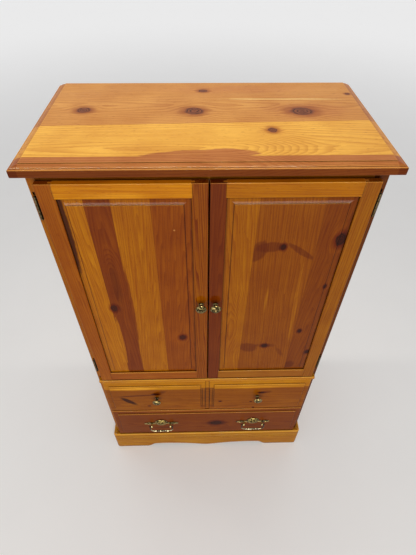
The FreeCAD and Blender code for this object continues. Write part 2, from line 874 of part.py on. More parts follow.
door_top_rail = door_rail(panel_top, door_top, panel_top, door_top)
door_bottom_rail = door_rail(door_bottom, panel_bottom, panel_bottom, door_bottom)

tongue = groove_depth - tongue_room
panel_x0 = meeting_stile_outer - tongue
panel_x1 = hinge_stile_inner + tongue
panel_z0 = panel_bottom - tongue
panel_z1 = panel_top + tongue
panel_front = groove_front - panel_proud
panel = block(panel_x0, panel_x1, panel_front, groove_back, panel_z0, panel_z1)


def bevel(place, along):
    """What the cutter takes off the panel's edge: a fillet, then a hollow slope to the tongue."""
    edge = tongue + panel_bevel_width
    flat = tongue + panel_bevel_flat
    low = groove_front
    high = panel_front + panel_bevel_step
    middle = (edge + flat) / 2
    hollow = (high + low) / 2 + panel_bevel_hollow
    path = [
        (-overrun, low),
        (flat, low),
        (middle, hollow, edge, high),
        (edge, panel_front - overrun),
        (-overrun, panel_front - overrun),
    ]
    return outline(path, place).extrude(along)


panel_run_x = panel_x1 - panel_x0 + 2 * overrun
panel_run_z = panel_z1 - panel_z0 + 2 * overrun
panel = without(panel, [
    bevel(lambda d, y: V(panel_x0 + d, y, panel_z0 - overrun), V(0, 0, panel_run_z)),
    bevel(lambda d, y: V(panel_x1 - d, y, panel_z0 - overrun), V(0, 0, panel_run_z)),
    bevel(lambda d, y: V(panel_x0 - overrun, y, panel_z0 + d), V(panel_run_x, 0, 0)),
    bevel(lambda d, y: V(panel_x0 - overrun, y, panel_z1 - d), V(panel_run_x, 0, 0)),
])

strike = block(catch_inner, catch_inner + catch_width, door_back, strike_face,
               door_opening_top - catch_height, door_opening_top)
door_pieces = {
    "hinge_stile": [hinge_stile],
    "meeting_stile": [meeting_stile],
    "door_top_rail": [door_top_rail],
    "door_bottom_rail": [door_bottom_rail],
    "door_panel": [panel],
    "door_hinge_leaves": door_leaves,
    "door_hinge_screws": door_screws,
    "door_knob": [knob(knob_x, door_front, door_knob_height)],
    "door_knob_screw": [knob_screw(knob_x, door_front, door_back, door_knob_height)],
    "door_strike": [strike],
}
for name, shapes in door_pieces.items():
    add("right_" + name, shapes)
    add("left_" + name, [mirrored(shape) for shape in shapes])


# ---- drawers ---------------------------------------------------------------------------------
def box_parts(opening_bottom, opening_top):
    """Two sides, a back and a bottom; the bottom sits in grooves of the other pieces."""
    low = opening_bottom + runner_above_rail + runner_gap
    high = opening_top - box_head_room
    inner = box_half - box_wall
    bottom_low = low + box_bottom_lift
    bottom = block(-inner - box_bottom_groove, inner + box_bottom_groove, front_back - box_bottom_groove,
                   box_back - box_wall + box_bottom_groove, bottom_low, bottom_low + box_bottom_thickness)
    side_board = block(inner, box_half, front_back - box_dado, box_back, low, high)
    side_board = eased(side_board, box_edge_radius, lambda point: near(point.z, high))
    back_board = block(-inner, inner, box_back - box_wall, box_back, low, high)
    sides = [without(board, [bottom]) for board in both_sides([side_board])]
    return sides, without(back_board, [bottom]), bottom


def front_board(low, high, lip_top, fields):
    """A lipped front: the fields stand proud of a routed border."""
    board = block(-front_half_width, front_half_width, lip_face, front_back, low, high)
    board = eased_front(board, lip_face, lip_radius)
    pieces = [board]
    for x0, x1 in fields:
        field = block(x0, x1, field_face, lip_face, low + lip_width, high - lip_top)
        pieces.append(eased_front(field, field_face, field_radius))
    return joined(pieces)


field_edge = front_half_width - lip_width
upper_sides, upper_back, upper_bottom = box_parts(upper_opening_bottom, upper_opening_top)
upper_front = front_board(upper_front_bottom, upper_front_top, upper_lip_top,
                          ((-field_edge, -middle_strip_half), (middle_strip_half, field_edge)))
middle_groove = block(-middle_groove_half, middle_groove_half, lip_face - overrun,
                      lip_face + middle_groove_depth, upper_front_bottom - overrun, upper_front_top + overrun)
drawer_knob_holes = [
    screw_hole(drawer_knob_x, field_face, front_back, drawer_knob_height),
    screw_hole(-drawer_knob_x, field_face, front_back, drawer_knob_height),
]
upper_cuts = [middle_groove, upper_bottom] + upper_sides + drawer_knob_holes
add("upper_drawer_front", without(upper_front, upper_cuts))
add("upper_drawer_sides", upper_sides)
add("upper_drawer_back", upper_back)
add("upper_drawer_bottom", upper_bottom)
add("drawer_knobs", both_sides([knob(drawer_knob_x, field_face, drawer_knob_height)]))
add("drawer_knob_screws", both_sides([knob_screw(drawer_knob_x, field_face, front_back, drawer_knob_height)]))

post_half = post_spacing / 2
post_y = field_face - post_reach
post_holes = []
for x in (pull_x - post_half, pull_x + post_half):
    post_holes.append(rod(post_shank_radius + knob_screw_room, x, front_back + overrun, post_height,
                          (0, -1, 0), front_back - field_face + plate_thickness + 2 * overrun))
post_holes = both_sides(post_holes)

lower_sides, lower_back, lower_bottom = box_parts(lower_opening_bottom, lower_opening_top)
lower_front = front_board(lower_front_bottom, lower_front_top, lower_lip_top, ((-field_edge, field_edge),))
add("lower_drawer_front", without(lower_front, [lower_bottom] + lower_sides + post_holes))
add("lower_drawer_sides", lower_sides)
add("lower_drawer_back", lower_back)
add("lower_drawer_bottom", lower_bottom)


# ---- bail pulls ------------------------------------------------------------------------------
def pull_plate():
    """A stamped backplate: a fluted fan in the middle, wings with a boss and a tip on each side."""
    face = field_face
    out = (0, -1, 0)
    fan_z = post_height + fan_rise
    pieces = [
        rod(fan_radius, pull_x, face, fan_z, out, plate_thickness),
        rod(lobe_radius, pull_x, face, post_height - lobe_drop, out, plate_thickness),
        block(pull_x - wing_half_length, pull_x + wing_half_length, face - plate_thickness, face,
              post_height - wing_half_height, post_height + wing_half_height),
    ]
    for side in (-1, 1):
        pieces.append(rod(wing_disc_radius, pull_x + side * wing_half_length, face, post_height, out,
                          plate_thickness))
        pieces.append(rod(tip_radius, pull_x + side * tip_x, face, post_height, out, plate_thickness))
        boss = [
            (0.0, 0.0),
            (boss_radius, 0.0),
            cap(boss_radius, 0.0, boss_height),
        ]
        pieces.append(turned(boss, pull_x + side * boss_x, face - plate_thickness, post_height, out))
    plate = joined(pieces)
    dome = turned([(0.0, 0.0), (fan_dome_radius, 0.0), cap(fan_dome_radius, 0.0, fan_dome_height)],
                  pull_x, face - plate_thickness, fan_z, out)
    flutes = []
    for index in range(fan_flutes):
        angle = math.pi * (index + 0.5) / fan_flutes
        along = V(math.cos(angle), 0, math.sin(angle)) * fan_dome_radius
        inner = along * flute_start_share + V(0, -fan_dome_height - flute_inner_lift, 0)
        outer = along + V(0, -flute_outer_lift, 0)
        start = V(pull_x, face - plate_thickness, fan_z) + inner
        run = outer - inner
        flutes.append(Part.makeCylinder(flute_radius, run.Length + 4 * overrun, start, run))
    dome = without(dome, flutes)
    return without(joined([plate, dome]), post_holes)


def pull_posts():
    """Two posts, each with a ball eye in front and a nut inside the drawer."""
    shapes = []
    inside = front_back
    nut_corner = nut_radius / math.cos(math.pi / 6)
    for side in (-1, 1):
        x = pull_x + side * post_half
        shank = inside + nut_thickness + nut_end - post_y
        neck = post_reach - plate_thickness
        ball_end = math.sqrt(post_eye_radius ** 2 - post_neck_radius ** 2)
        post = turned([
            (0.0, -post_eye_radius),
            (post_eye_radius, 0.0, post_neck_radius, ball_end),
            (post_neck_radius, neck),
            (post_shank_radius, neck),
            (post_shank_radius, shank),
            (0.0, shank),
        ], x, post_y, post_height, (0, 1, 0))
        eye = rod(bail_pin_radius + bail_pin_clearance, x - 2 * post_eye_radius, post_y, post_height,
                  (1, 0, 0), 4 * post_eye_radius)
        shapes.append(without(post, [eye]))
        corners = []
        for index in range(7):
            angle = math.pi * index / 3
            across = nut_corner * math.cos(angle)
            up = nut_corner * math.sin(angle)
            corners.append(V(x + across, inside, post_height + up))
        nut = Part.Face(Part.makePolygon(corners)).extrude(V(0, nut_thickness, 0))
        nut_bore = rod(post_shank_radius + nut_room, x, inside - overrun, post_height, (0, 1, 0),
                       nut_thickness + 2 * overrun)
        shapes.append(without(nut, [nut_bore]))
    return shapes


def bail():
    """The swinging handle: two pins, two arms and a beaded grip, all in one plane."""
    grip_z = post_height - bail_drop
    bend_z = grip_z + bail_bend_radius
    bend_x = bail_arm_x - bail_bend_radius
    pieces = []
    for side in (-1, 1):
        arm_x = pull_x + side * bail_arm_x
        pin_start = min(arm_x, pull_x + side * bail_pin_inner)
        pieces.append(rod(bail_pin_radius, pin_start, post_y, post_height, (1, 0, 0),
                          bail_arm_x - bail_pin_inner))
        pieces.append(Part.makeSphere(bail_elbow_radius, V(arm_x, post_y, post_height)))
        pieces.append(rod(bail_arm_radius, arm_x, post_y, bend_z, (0, 0, 1), post_height - bend_z))
        ring = Part.Face(Part.Wire(Part.makeCircle(bail_arm_radius, V(arm_x, post_y, bend_z), V(0, 0, 1))))
        hub = V(pull_x + side * bend_x, post_y, bend_z)
        pieces.append(ring.revolve(hub, V(0, side, 0), 90))
    bead = 2 * bend_x / bead_count
    path = [(0.0, 0.0), (bead_neck_radius, 0.0)]
    for index in range(bead_count):
        start = index * bead
        path.append((bead_radius, start + bead / 2, bead_neck_radius, start + bead))
    path.append((0.0, 2 * bend_x))
    pieces.append(turned(path, pull_x - bend_x, post_y, grip_z, (1, 0, 0)))
    return joined(pieces)


add("pull_plates", both_sides([pull_plate()]))
add("pull_posts", both_sides(pull_posts()))
right_bail = bail()
add("right_bail", right_bail)
add("left_bail", mirrored(right_bail))

# ---- drawer runners and stops ----------------------------------------------------------------
runners = []
stops = []
runner_back = back_front - runner_end_room
box_back_face = box_back - box_wall
stop_depth = box_back_face - drawer_travel - stop_room - frame_thickness
upper_runner_bottom = upper_opening_bottom + runner_above_rail - runner_height
for opening_bottom, opening_top, seat_bottom, stop_top in (
    (lower_opening_bottom, lower_opening_top, base_top, upper_opening_bottom),
    (upper_opening_bottom, upper_opening_top, upper_runner_bottom, deck_top - panel_thickness),
):
    top = opening_bottom + runner_above_rail
    seat = block(box_half - runner_under_box, case_inner, frame_thickness, runner_back, seat_bottom, top)
    guide = block(box_half + runner_guide_gap, case_inner, frame_thickness, runner_back,
                  top, top + runner_guide_height)
    runners.append(joined([seat, guide]))
    stops.append(block(-stop_width / 2, stop_width / 2, frame_thickness, frame_thickness + stop_depth,
                       opening_top - box_head_room - stop_bite, stop_top - stop_top_room))
add("drawer_runners", both_sides(runners))
add("drawer_stops", stops)

# ---- one file for each node ------------------------------------------------------------------
os.makedirs("parts", exist_ok=True)
for name, shapes in nodes.items():
    placed = []
    for shape in shapes:
        for solid in shape.Solids:
            moved = solid.copy()
            moved.translate(V(0, -origin_y, 0))
            placed.append(moved)
            if not moved.isValid() or moved.Volume <= 0:
                raise ValueError(name + " holds a bad solid")
    node = placed[0] if len(placed) == 1 else Part.makeCompound(placed)
    node.exportStep("parts/" + name + ".step")
print(len(nodes), "nodes, origin_y", round(origin_y, 3))
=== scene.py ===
# %% [markdown]
# # A TV armoire in knotty pine
#
# The armoire is a case of glued-up pine with two raised-panel doors over two
# drawers, finished in a glossy honey-coloured lacquer, with antique brass knobs
# and bail pulls.  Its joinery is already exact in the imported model, so nothing
# here changes a shape.  This lesson is about finish: how one recipe for pine,
# given each board's own colour, rings and knots, makes every piece differ.

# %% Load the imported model
import math
from collections import namedtuple

import bpy
from mathutils import Matrix, Vector


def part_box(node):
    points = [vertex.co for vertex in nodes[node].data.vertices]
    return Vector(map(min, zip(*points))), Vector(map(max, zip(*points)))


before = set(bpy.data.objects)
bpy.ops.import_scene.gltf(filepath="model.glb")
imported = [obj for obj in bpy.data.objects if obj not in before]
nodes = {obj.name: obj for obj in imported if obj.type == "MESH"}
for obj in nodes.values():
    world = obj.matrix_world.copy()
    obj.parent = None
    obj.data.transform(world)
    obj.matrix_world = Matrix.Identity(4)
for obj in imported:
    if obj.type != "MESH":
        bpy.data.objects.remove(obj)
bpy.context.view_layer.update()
MM = 1000.0
front_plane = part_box("frame_stiles")[0].y * MM
print("nodes", len(nodes), "face frame's front at y", round(front_plane, 1), "mm")

# %% [markdown]
# ## Colour
#
# Colours are written as sRGB hex, as a paint chip is read off a screen.  The
# shaders count light, so each hex is turned to linear by one function.

# %% Hex to linear colour
def paint(code):
    """A colour such as #c98a2e as linear red, green, blue and alpha."""
    parts = [int(code[i:i + 2], 16) / 255 for i in (1, 3, 5)]
    return tuple(c / 12.92 if c <= 0.04045 else ((c + 0.055) / 1.055) ** 2.4 for c in parts) + (1.0,)


print("honey lacquer", [round(c, 3) for c in paint("#c98a2e")])

# %% [markdown]
# ## Nodes
#
# A procedural finish is a small graph.  One function adds any node: its inputs
# are values, colours or earlier nodes, and its settings are plain keywords.
# Inputs given as a list go to the node's sockets in order, and inputs given as
# a dict go to the sockets of those names.

# %% Add a node
def feed(tree, node, inputs):
    """Sets or links a node's inputs; a node among them is linked from the output that is in use."""
    live = [socket for socket in node.inputs if socket.enabled]
    named = {socket.name: socket for socket in reversed(live)}
    given = inputs.items() if isinstance(inputs, dict) else zip(live, inputs)
    for key, value in given:
        socket = named[key] if isinstance(key, str) else key
        if isinstance(value, bpy.types.Node):
            value = next(out for out in value.outputs if out.enabled)
        if isinstance(value, bpy.types.NodeSocket):
            tree.links.new(value, socket)
        else:
            socket.default_value = paint(value) if isinstance(value, str) else value


def add(tree, kind, inputs=(), **settings):
    """Adds one node with its settings and inputs."""
    node = tree.nodes.new("ShaderNode" + kind)
    for name, value in settings.items():
        setattr(node, name, value)
    feed(tree, node, inputs)
    return node


def in_mm(tree):
    """Each point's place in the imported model, in millimetres."""
    return add(tree, "VectorMath", [add(tree, "TexCoord").outputs["Object"], MM], operation="SCALE")


def stain_over(tree, colour, stains):
    """Deepens a colour by each mask and tint in turn."""
    for mask, tint in stains:
        colour = add(tree, "Mix", [mask, colour, tint], data_type="RGBA", blend_type="MULTIPLY")
    return colour


def new_finish(name):
    """A fresh material with its graph and its surface shader."""
    material = bpy.data.materials.new(name)
    material.use_nodes = True
    return material, material.node_tree, material.node_tree.nodes["Principled BSDF"]


def dress(material, names):
    """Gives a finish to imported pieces, whose shapes stay as they are."""
    for name in names:
        for slot in nodes[name].material_slots:
            slot.material = material
    print(material.name, "on", len(names), "pieces")


dim, bright = 0.3, 0.7          # nearly all the values of a noise lie between these
relief_mm = 0.2                 # the height of a finish's fine relief
wood_ior = lacquer_ior = 1.5
print("finish slots to fill", sum(len(node.material_slots) for node in nodes.values()))

# %% [markdown]
# ## Knotty pine
#
# A log grows as nested cones, one ring a year, so the figure on a board is the
# cut through those cones: straight lines where the board runs beside the heart
# and arches where it runs over it.  The recipe works out each point's distance
# from the log's heart, adds a slow taper along the grain and reads the ring
# from what is left over.  Each ring fades from pale early wood to a thin brown
# line of late wood and starts again.  The grain flows round a knot, so the
# coordinates are squeezed towards each knot before the rings are read.
#
# Panels are edge-glued from narrow boards.  A `Board` starts at a place across
# the panel and has a colour and a log of its own: `rings` is the spacing of its
# rings, `heart` where the log's heart lies across the panel, and `depth` how
# far that is from the middle of the board's thickness.  A `lean` tips its edge,
# and a `wave` makes it wander, as the line between sapwood and heartwood does
# inside one board.  A `Patch` is a stain of darker or paler wood inside the
# board that holds its middle, and its `lean` tips it across the grain.  A
# `Swell` is a bulge in the log, whose rings close up into arches, and its
# `tail` draws one side out, so that the arches stay open there.  All places
# and sizes are in millimetres, from the floor under the middle of the face
# frame's front.

# %% What a board, a knot, a patch and a swell are
Board = namedtuple("Board", "start colour rings heart depth lean wave", defaults=(0.0, 0.0))
Knot = namedtuple("Knot", "x y z long wide", defaults=(0.0, 0.0, 0.0, 10.0, 8.0))
Patch = namedtuple("Patch", "x y z long wide colour strength soft lean",
                   defaults=(0.0, 0.0, 0.0, 40.0, 10.0, "#5a2a10", 0.8, 0.5, 0.0))
Swell = namedtuple("Swell", "x y z long wide lift tail", defaults=(0.0, 0.0, 0.0, 200.0, 60.0, 30.0, 1.0))
axis_of = {"x": 0, "y": 1, "z": 2}
print("a board has", ", ".join(Board._fields))

# %% [markdown]
# Other figures lie over the rings.  Each is a noise, mostly drawn out along the
# grain: where it rises from `low` to `high`, the figure's strength goes from
# `least` to `most`, and `offset` moves it to another part of the noise.  Fibres
# and flecks are drawn coarser than real ones, so that they show.  Noises with
# the same first four measures bend the rings, fray the edges of knots and
# patches, and space good and poor years.

# %% Streaks, clouds, fibres and flecks
Figure = namedtuple("Figure", "length width detail offset low high least most tint",
                    defaults=(0.0, 0.5, "#ffffff"))
streak = Figure(520.0, 7.0, 3.0, 5.0, 0.35, 0.75, tint="#d3a587")            # stain in the early wood
cloud = Figure(130.0, 130.0, 2.0, 11.0, dim, bright, tint="#dcc3ac")         # uneven stain
fibre = Figure(60.0, 1.1, 2.0, 17.0, dim, bright, most=0.35, tint="#d8b79c")
fleck = Figure(18.0, 2.4, 1.0, 41.0, 0.64, 0.72, most=0.4, tint="#a8703e")   # short resin ducts
smear = Figure(210.0, 90.0, 3.0, 31.0, dim, bright, least=0.26, most=0.4)    # roughness, so it has no tint
wander_shape = (300.0, 60.0, 2.0, 0.0)       # length, width, detail and offset
ragged_shape = (26.0, 9.0, 2.0, 23.0)
season_shape = (700.0, 24.0, 1.0, 53.0)
print("streaks", streak.width, "mm wide; fibres", fibre.width, "mm; flecks", fleck.width, "mm")

# %% [markdown]
# Every piece of lumber has its own graph, and every graph starts alike.  It
# turns each point into a place along the grain, across the face and through the
# thickness, and it keeps two noises: one that lets the rings wander and one that
# makes the edges of patches and knots ragged.

# %% Where a point lies on a board
class Lumber:
    """The graph of one piece's finish, and where each point lies in the wood."""

    def __init__(self, tree, piece, grain, face):
        self.tree = tree
        self.grain, self.face = axis_of[grain], axis_of[face]
        through = 3 - self.grain - self.face
        low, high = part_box(piece)
        self.middle = (low + high) / 2 * MM
        self.half = (high - low) / 2 * MM
        self.origin = [0.0, front_plane, 0.0]
        self.origin[through] = self.middle[through]
        self.seed = 37.0 * len(bpy.data.materials)      # each piece reads another part of the noise
        coords = add(tree, "TexCoord").outputs
        self.normal = coords["Normal"]
        shift = tuple(-value for value in self.origin)
        self.mm = add(tree, "VectorMath", [coords["Object"], (MM,) * 3, shift], operation="MULTIPLY_ADD")
        self.xyz = add(tree, "SeparateXYZ", [self.mm]).outputs
        self.along, self.across = self.xyz[self.grain], self.xyz[self.face]
        self.place = add(tree, "CombineXYZ", [self.along, self.across, self.xyz[through]])
        self.wander = self.drift(*wander_shape)
        self.ragged = self.drift(*ragged_shape)

    def noise(self, length, width, detail, offset):
        """Noise whose features are about that long and wide."""
        scale = (1 / length, 1 / width, 1 / width)
        drawn_out = add(self.tree, "VectorMath", [self.place, scale, (self.seed + offset,) * 3],
                        operation="MULTIPLY_ADD")
        return add(self.tree, "TexNoise", {"Vector": drawn_out, "Scale": 1.0, "Detail": detail})

    def drift(self, length, width, detail, offset):
        """The same noise, centred on zero."""
        values = self.noise(length, width, detail, offset)
        return add(self.tree, "Math", [values, 0.5], operation="SUBTRACT")

    def mask(self, figure):
        """How strongly a figure shows."""
        values = self.noise(figure.length, figure.width, figure.detail, figure.offset)
        return add(self.tree, "MapRange", [values, figure.low, figure.high, figure.least, figure.most])

    def off(self, spot):
        """The way to each point from the middle of a knot, patch or swell."""
        return add(self.tree, "VectorMath", [self.place, (spot[self.grain], spot[self.face], 0.0)],
                   operation="SUBTRACT")

    def away(self, off, spot):
        """How far that way is, as a share of the spot's own length and width."""
        share = (1 / spot.long, 1 / spot.wide, 0.0)
        ratio = add(self.tree, "VectorMath", [off, share], operation="MULTIPLY")
        return add(self.tree, "VectorMath", [ratio], operation="LENGTH")

    def past(self, axis, inset):
        """How far each point lies beyond a line drawn that far inside both ends of the piece."""
        centred = add(self.tree, "Math", [self.xyz[axis], self.origin[axis] - self.middle[axis]],
                      operation="ADD")
        side = add(self.tree, "Math", [centred], operation="ABSOLUTE")
        return add(self.tree, "Math", [side, self.half[axis] - inset], operation="SUBTRACT")


print("each point is read along, across and through the wood")

# %% [markdown]
# The boards lie side by side, so each seam chooses between what lies on its two
# sides: a colour with its patches, and a log.  Seams lean when boards aren't
# quite parallel, and a dark glue line follows each one that has no wave.

# %% Boards and patches
patch_raggedness = 0.4
seam_soft_mm = 0.25                     # half the width of a sharp seam
seam_soft_per_wave = 0.12               # a wandering seam is softer too
glue_from_mm, glue_to_mm, glue_most = 0.15, 0.9, 0.4


def stained(wood, boards, number, patches):
    """A board's own colour, with the patches whose middles lie on that board."""
    tree = wood.tree
    colour = boards[number].colour
    for patch in patches:
        if number != sum(patch[wood.face] >= board.start for board in boards[1:]):
            continue
        off = wood.off(patch)
        lengthwise = add(tree, "SeparateXYZ", [off]).outputs[0]
        tipped = add(tree, "Math", [lengthwise, -patch.lean], operation="MULTIPLY")
        off = add(tree, "VectorMath", [off, add(tree, "CombineXYZ", [0.0, tipped])], operation="ADD")
        edge = add(tree, "Math", [wood.ragged, patch_raggedness, wood.away(off, patch)],
                   operation="MULTIPLY_ADD")
        here = add(tree, "MapRange", [edge, 1 - patch.soft, 1.0, patch.strength, 0.0],
                   interpolation_type="SMOOTHSTEP")
        colour = add(tree, "Mix", [here, colour, patch.colour], data_type="RGBA")
    return colour


def glue_up(wood, boards, patches):
    """The boards' colours, the logs they were sawn from and the glue lines between them."""
    tree = wood.tree
    logs = [(board.heart, board.depth, 1 / board.rings) for board in boards]
    colour, log, seams = stained(wood, boards, 0, patches), logs[0], 0.0
    for number, board in enumerate(boards[1:], 1):
        start = board.start - board.lean * (wood.middle[wood.grain] - wood.origin[wood.grain])
        seam = add(tree, "Math", [wood.along, board.lean, start], operation="MULTIPLY_ADD")
        past = add(tree, "Math", [wood.across, seam], operation="SUBTRACT")
        past = add(tree, "Math", [wood.wander, board.wave, past], operation="MULTIPLY_ADD")
        soft = seam_soft_mm + seam_soft_per_wave * board.wave
        here = add(tree, "MapRange", [past, -soft, soft, 0.0, 1.0], interpolation_type="SMOOTHSTEP")
        colour = add(tree, "Mix", [here, colour, stained(wood, boards, number, patches)], data_type="RGBA")
        log = add(tree, "Mix", [here, log, logs[number]], data_type="VECTOR")
        if not board.wave:
            gap = add(tree, "Math", [past], operation="ABSOLUTE")
            line = add(tree, "MapRange", [gap, glue_from_mm, glue_to_mm, glue_most, 0.0])
            seams = add(tree, "Math", [seams, line], operation="MAXIMUM")
    return colour, log, seams


print("glue lines are", 2 * glue_to_mm, "mm wide")

# %% [markdown]
# The grain flows round a knot, whose pull crowds the rings on both sides of it.
# A knot also has a brown halo and dark rings of its own.

# %% Knots
pull_near, pull_far, pull_most = 0.4, 3.4, 0.72     # how a knot draws the grain in, in its own radii
no_knot = 9.0                                       # farther off than any knot's halo reaches
knot_raggedness, knot_rings = 0.5, 3.2              # the rings are counted per radius
halo_from, halo_to, halo_tint = 0.9, 1.9, "#a85c24"
core_from, core_to, core_most = 0.82, 1.0, 0.96
tone_share = 0.7                                    # how much of each knot ring lightens


def flow_round(wood, knots):
    """The coordinates squeezed towards each knot, and how many radii off the nearest knot is."""
    tree = wood.tree
    bent, reach = wood.place, no_knot
    for knot in knots:
        off = wood.off(knot)
        away = wood.away(off, knot)
        reach = add(tree, "Math", [away, reach], operation="MINIMUM")
        pull = add(tree, "MapRange", [away, pull_near, pull_far, pull_most, 0.0],
                   interpolation_type="SMOOTHERSTEP")
        squeeze = add(tree, "VectorMath", [off, pull], operation="SCALE")
        bent = add(tree, "VectorMath", [bent, squeeze], operation="SUBTRACT")
    return bent, reach


def draw_knots(wood, colour, reach, halo, knot_tones):
    """A brown halo round each knot, and the knot's own dark rings inside it."""
    tree = wood.tree
    uneven = add(tree, "Math", [wood.ragged, knot_raggedness, reach], operation="MULTIPLY_ADD")
    round_it = add(tree, "MapRange", [uneven, halo_from, halo_to, halo, 0.0],
                   interpolation_type="SMOOTHSTEP")
    colour = stain_over(tree, colour, [(round_it, halo_tint)])
    turns = add(tree, "Math", [uneven, knot_rings], operation="MULTIPLY")
    turn = add(tree, "Math", [turns], operation="FRACT")
    tone = add(tree, "MapRange", [turn, 0.0, tone_share, 0.0, 1.0])
    knot_wood = add(tree, "Mix", [tone, *knot_tones], data_type="RGBA")
    core = add(tree, "MapRange", [uneven, core_from, core_to, core_most, 0.0],
               interpolation_type="SMOOTHSTEP")
    return add(tree, "Mix", [core, colour, knot_wood], data_type="RGBA")


print("a knot draws in the grain up to", pull_far, "of its radii off")

# %% [markdown]
# Real rings are 2 to 4 mm apart, which is finer than the picture can show, so
# most are drawn about twice as coarse.  Good and poor years space them
# unevenly, by up to a third of `season_mm`.

# %% Year rings
ring_wander_mm = 9.0
late_from, late_full, late_wood = 0.3, 0.95, "#c59a74"


def year_rings(wood, bent, log, swells, taper, season_mm, contrast):
    """How much late wood lies at each point, read from its distance to the log's heart."""
    tree = wood.tree
    bent_xyz = add(tree, "SeparateXYZ", [bent]).outputs
    heart, depth, rings_per_mm = add(tree, "SeparateXYZ", [log]).outputs
    aside = add(tree, "Math", [bent_xyz[1], heart], operation="SUBTRACT")
    below = add(tree, "Math", [bent_xyz[2], depth], operation="SUBTRACT")
    radius = add(tree, "VectorMath", [add(tree, "CombineXYZ", [aside, below])], operation="LENGTH")
    grown = add(tree, "Math", [wood.along, taper, radius], operation="MULTIPLY_ADD")
    for swell in swells:
        off = wood.off(swell)
        drawn_out = add(tree, "VectorMath", [off, (1 / swell.tail, 1.0, 1.0)], operation="MULTIPLY")
        off = add(tree, "VectorMath", [off, drawn_out], operation="MAXIMUM")
        lift = add(tree, "MapRange", [wood.away(off, swell), 0.0, 1.0, -swell.lift, 0.0],
                   interpolation_type="SMOOTHSTEP")
        grown = add(tree, "Math", [grown, lift], operation="ADD")
    for stray, reach_mm in ((wood.wander, ring_wander_mm), (wood.drift(*season_shape), season_mm)):
        grown = add(tree, "Math", [stray, reach_mm, grown], operation="MULTIPLY_ADD")
    years = add(tree, "Math", [grown, rings_per_mm], operation="MULTIPLY")
    ring = add(tree, "Math", [years], operation="FRACT")
    return add(tree, "MapRange", [ring, late_from, late_full, 0.0, contrast],
               interpolation_type="SMOOTHSTEP")


print("late wood darkens from", late_from, "to", late_full, "of each ring")

# %% [markdown]
# End grain drinks more stain, and so do the strips across the ends of the top.
# The long edges are darker too, partly stain soaked in and partly painted shade
# on their upright faces.  A line of painted shade runs round the raised field of
# a panel, along the foot of its step.

# %% Edges
end_facing, end_most, end_tint = (0.6, 0.95), 0.55, "#a07452"
# long edges: stain soaked in, and painted shade on their upright faces
edge_facing, edge_stain_and_shade_tint = (0.3, 0.9), "#a88a5a"
strip_soft_mm, strip_most, strip_tint = 0.5, 0.5, "#b98058"
# the painted shade along the foot of a field's step
foot_mm, foot_line_mm, foot_fade_mm, foot_shade_most = 0.6, 0.6, 2.2, 0.75
# glue lines and the painted shade at a field's foot share this tint
seam_and_foot_shade_tint = "#8a5a3a"


def edge_stains_and_shade(wood, seams, edge_stain_and_shade, end_strips, field):
    """The masks and tints of end grain, long edges (stain and painted shade), end strips, seams and the
    painted shade at a field's foot.
    """
    tree = wood.tree
    facing = add(tree, "SeparateXYZ", [wood.normal]).outputs
    ends = add(tree, "Math", [facing[wood.grain]], operation="ABSOLUTE")
    stains = [(add(tree, "MapRange", [ends, *end_facing, 0.0, end_most]), end_tint)]
    # long edges darken: stain soaked in, and painted shade
    if edge_stain_and_shade:
        edges = add(tree, "Math", [facing[wood.face]], operation="ABSOLUTE")
        stains.append((add(tree, "MapRange", [edges, *edge_facing, 0.0, edge_stain_and_shade]), edge_stain_and_shade_tint))
    if end_strips:
        past = wood.past(wood.grain, end_strips)
        strip = add(tree, "MapRange", [past, -strip_soft_mm, strip_soft_mm, 0.0, strip_most])
        stains.append((strip, strip_tint))
    # a line of painted shade along the foot of the field's step
    if field:
        past_both = [wood.past(wood.grain, field), wood.past(wood.face, field)]
        past = add(tree, "Math", past_both, operation="MAXIMUM")
        foot = add(tree, "Math", [past, foot_mm], operation="SUBTRACT")
        off_foot = add(tree, "Math", [foot], operation="ABSOLUTE")
        line = add(tree, "MapRange", [off_foot, foot_line_mm, foot_fade_mm, foot_shade_most, 0.0])
        seams = add(tree, "Math", [seams, line], operation="MAXIMUM")
    return stains + [(seams, seam_and_foot_shade_tint)]


print("the line at a field's foot fades within", foot_fade_mm, "mm")

# %% [markdown]
# The colour is deepened in corners and hollows, a painted shade.  The arrises
# that face up are lightened into lines, a painted highlight of the light from
# above, and the lacquer is also rubbed thin there, where hands and cloths pass.

# %% Wear, painted highlights and painted shade
# arris values lighten up-facing arrises, a painted highlight; hollow values darken hollows, a painted shade
arris_mm, arris_up, arris_flat, arris_most, arris_highlight_tint = 4.0, (0.2, 0.5), (0.8, 0.97), 0.9, "#c8883e"
hollow_shade_mm, hollow_shade_open, hollow_shade_tint = 9.0, (0.4, 0.93), "#321404"


def wear_and_painted_light(tree, colour):
    """Lightens the arrises that face up, a painted highlight with lacquer rubbed thin, and darkens the
    hollows with painted shade.
    """
    # painted highlight on the arrises that face the light from above, where the lacquer is also rubbed thin
    rounded = add(tree, "Bevel", {"Radius": arris_mm / MM}, samples=6)
    upward = add(tree, "SeparateXYZ", [rounded]).outputs[2]
    turning = add(tree, "MapRange", [upward, *arris_up, 0.0, arris_most], interpolation_type="SMOOTHSTEP")
    not_flat = add(tree, "MapRange", [upward, *arris_flat, 1.0, 0.0], interpolation_type="SMOOTHSTEP")
    rubbed_and_lit = add(tree, "Math", [turning, not_flat], operation="MULTIPLY")
    colour = add(tree, "Mix", [rubbed_and_lit, colour, arris_highlight_tint], data_type="RGBA", blend_type="SCREEN")
    # painted shade: the colour darkens where a point sees little open sky
    open_sky = add(tree, "AmbientOcclusion", {"Distance": hollow_shade_mm / MM}, samples=8)
    painted_hollow_shade = add(tree, "MapRange", [open_sky.outputs["AO"], *hollow_shade_open, 1.0, 0.0])
    return stain_over(tree, colour, [(painted_hollow_shade, hollow_shade_tint)])


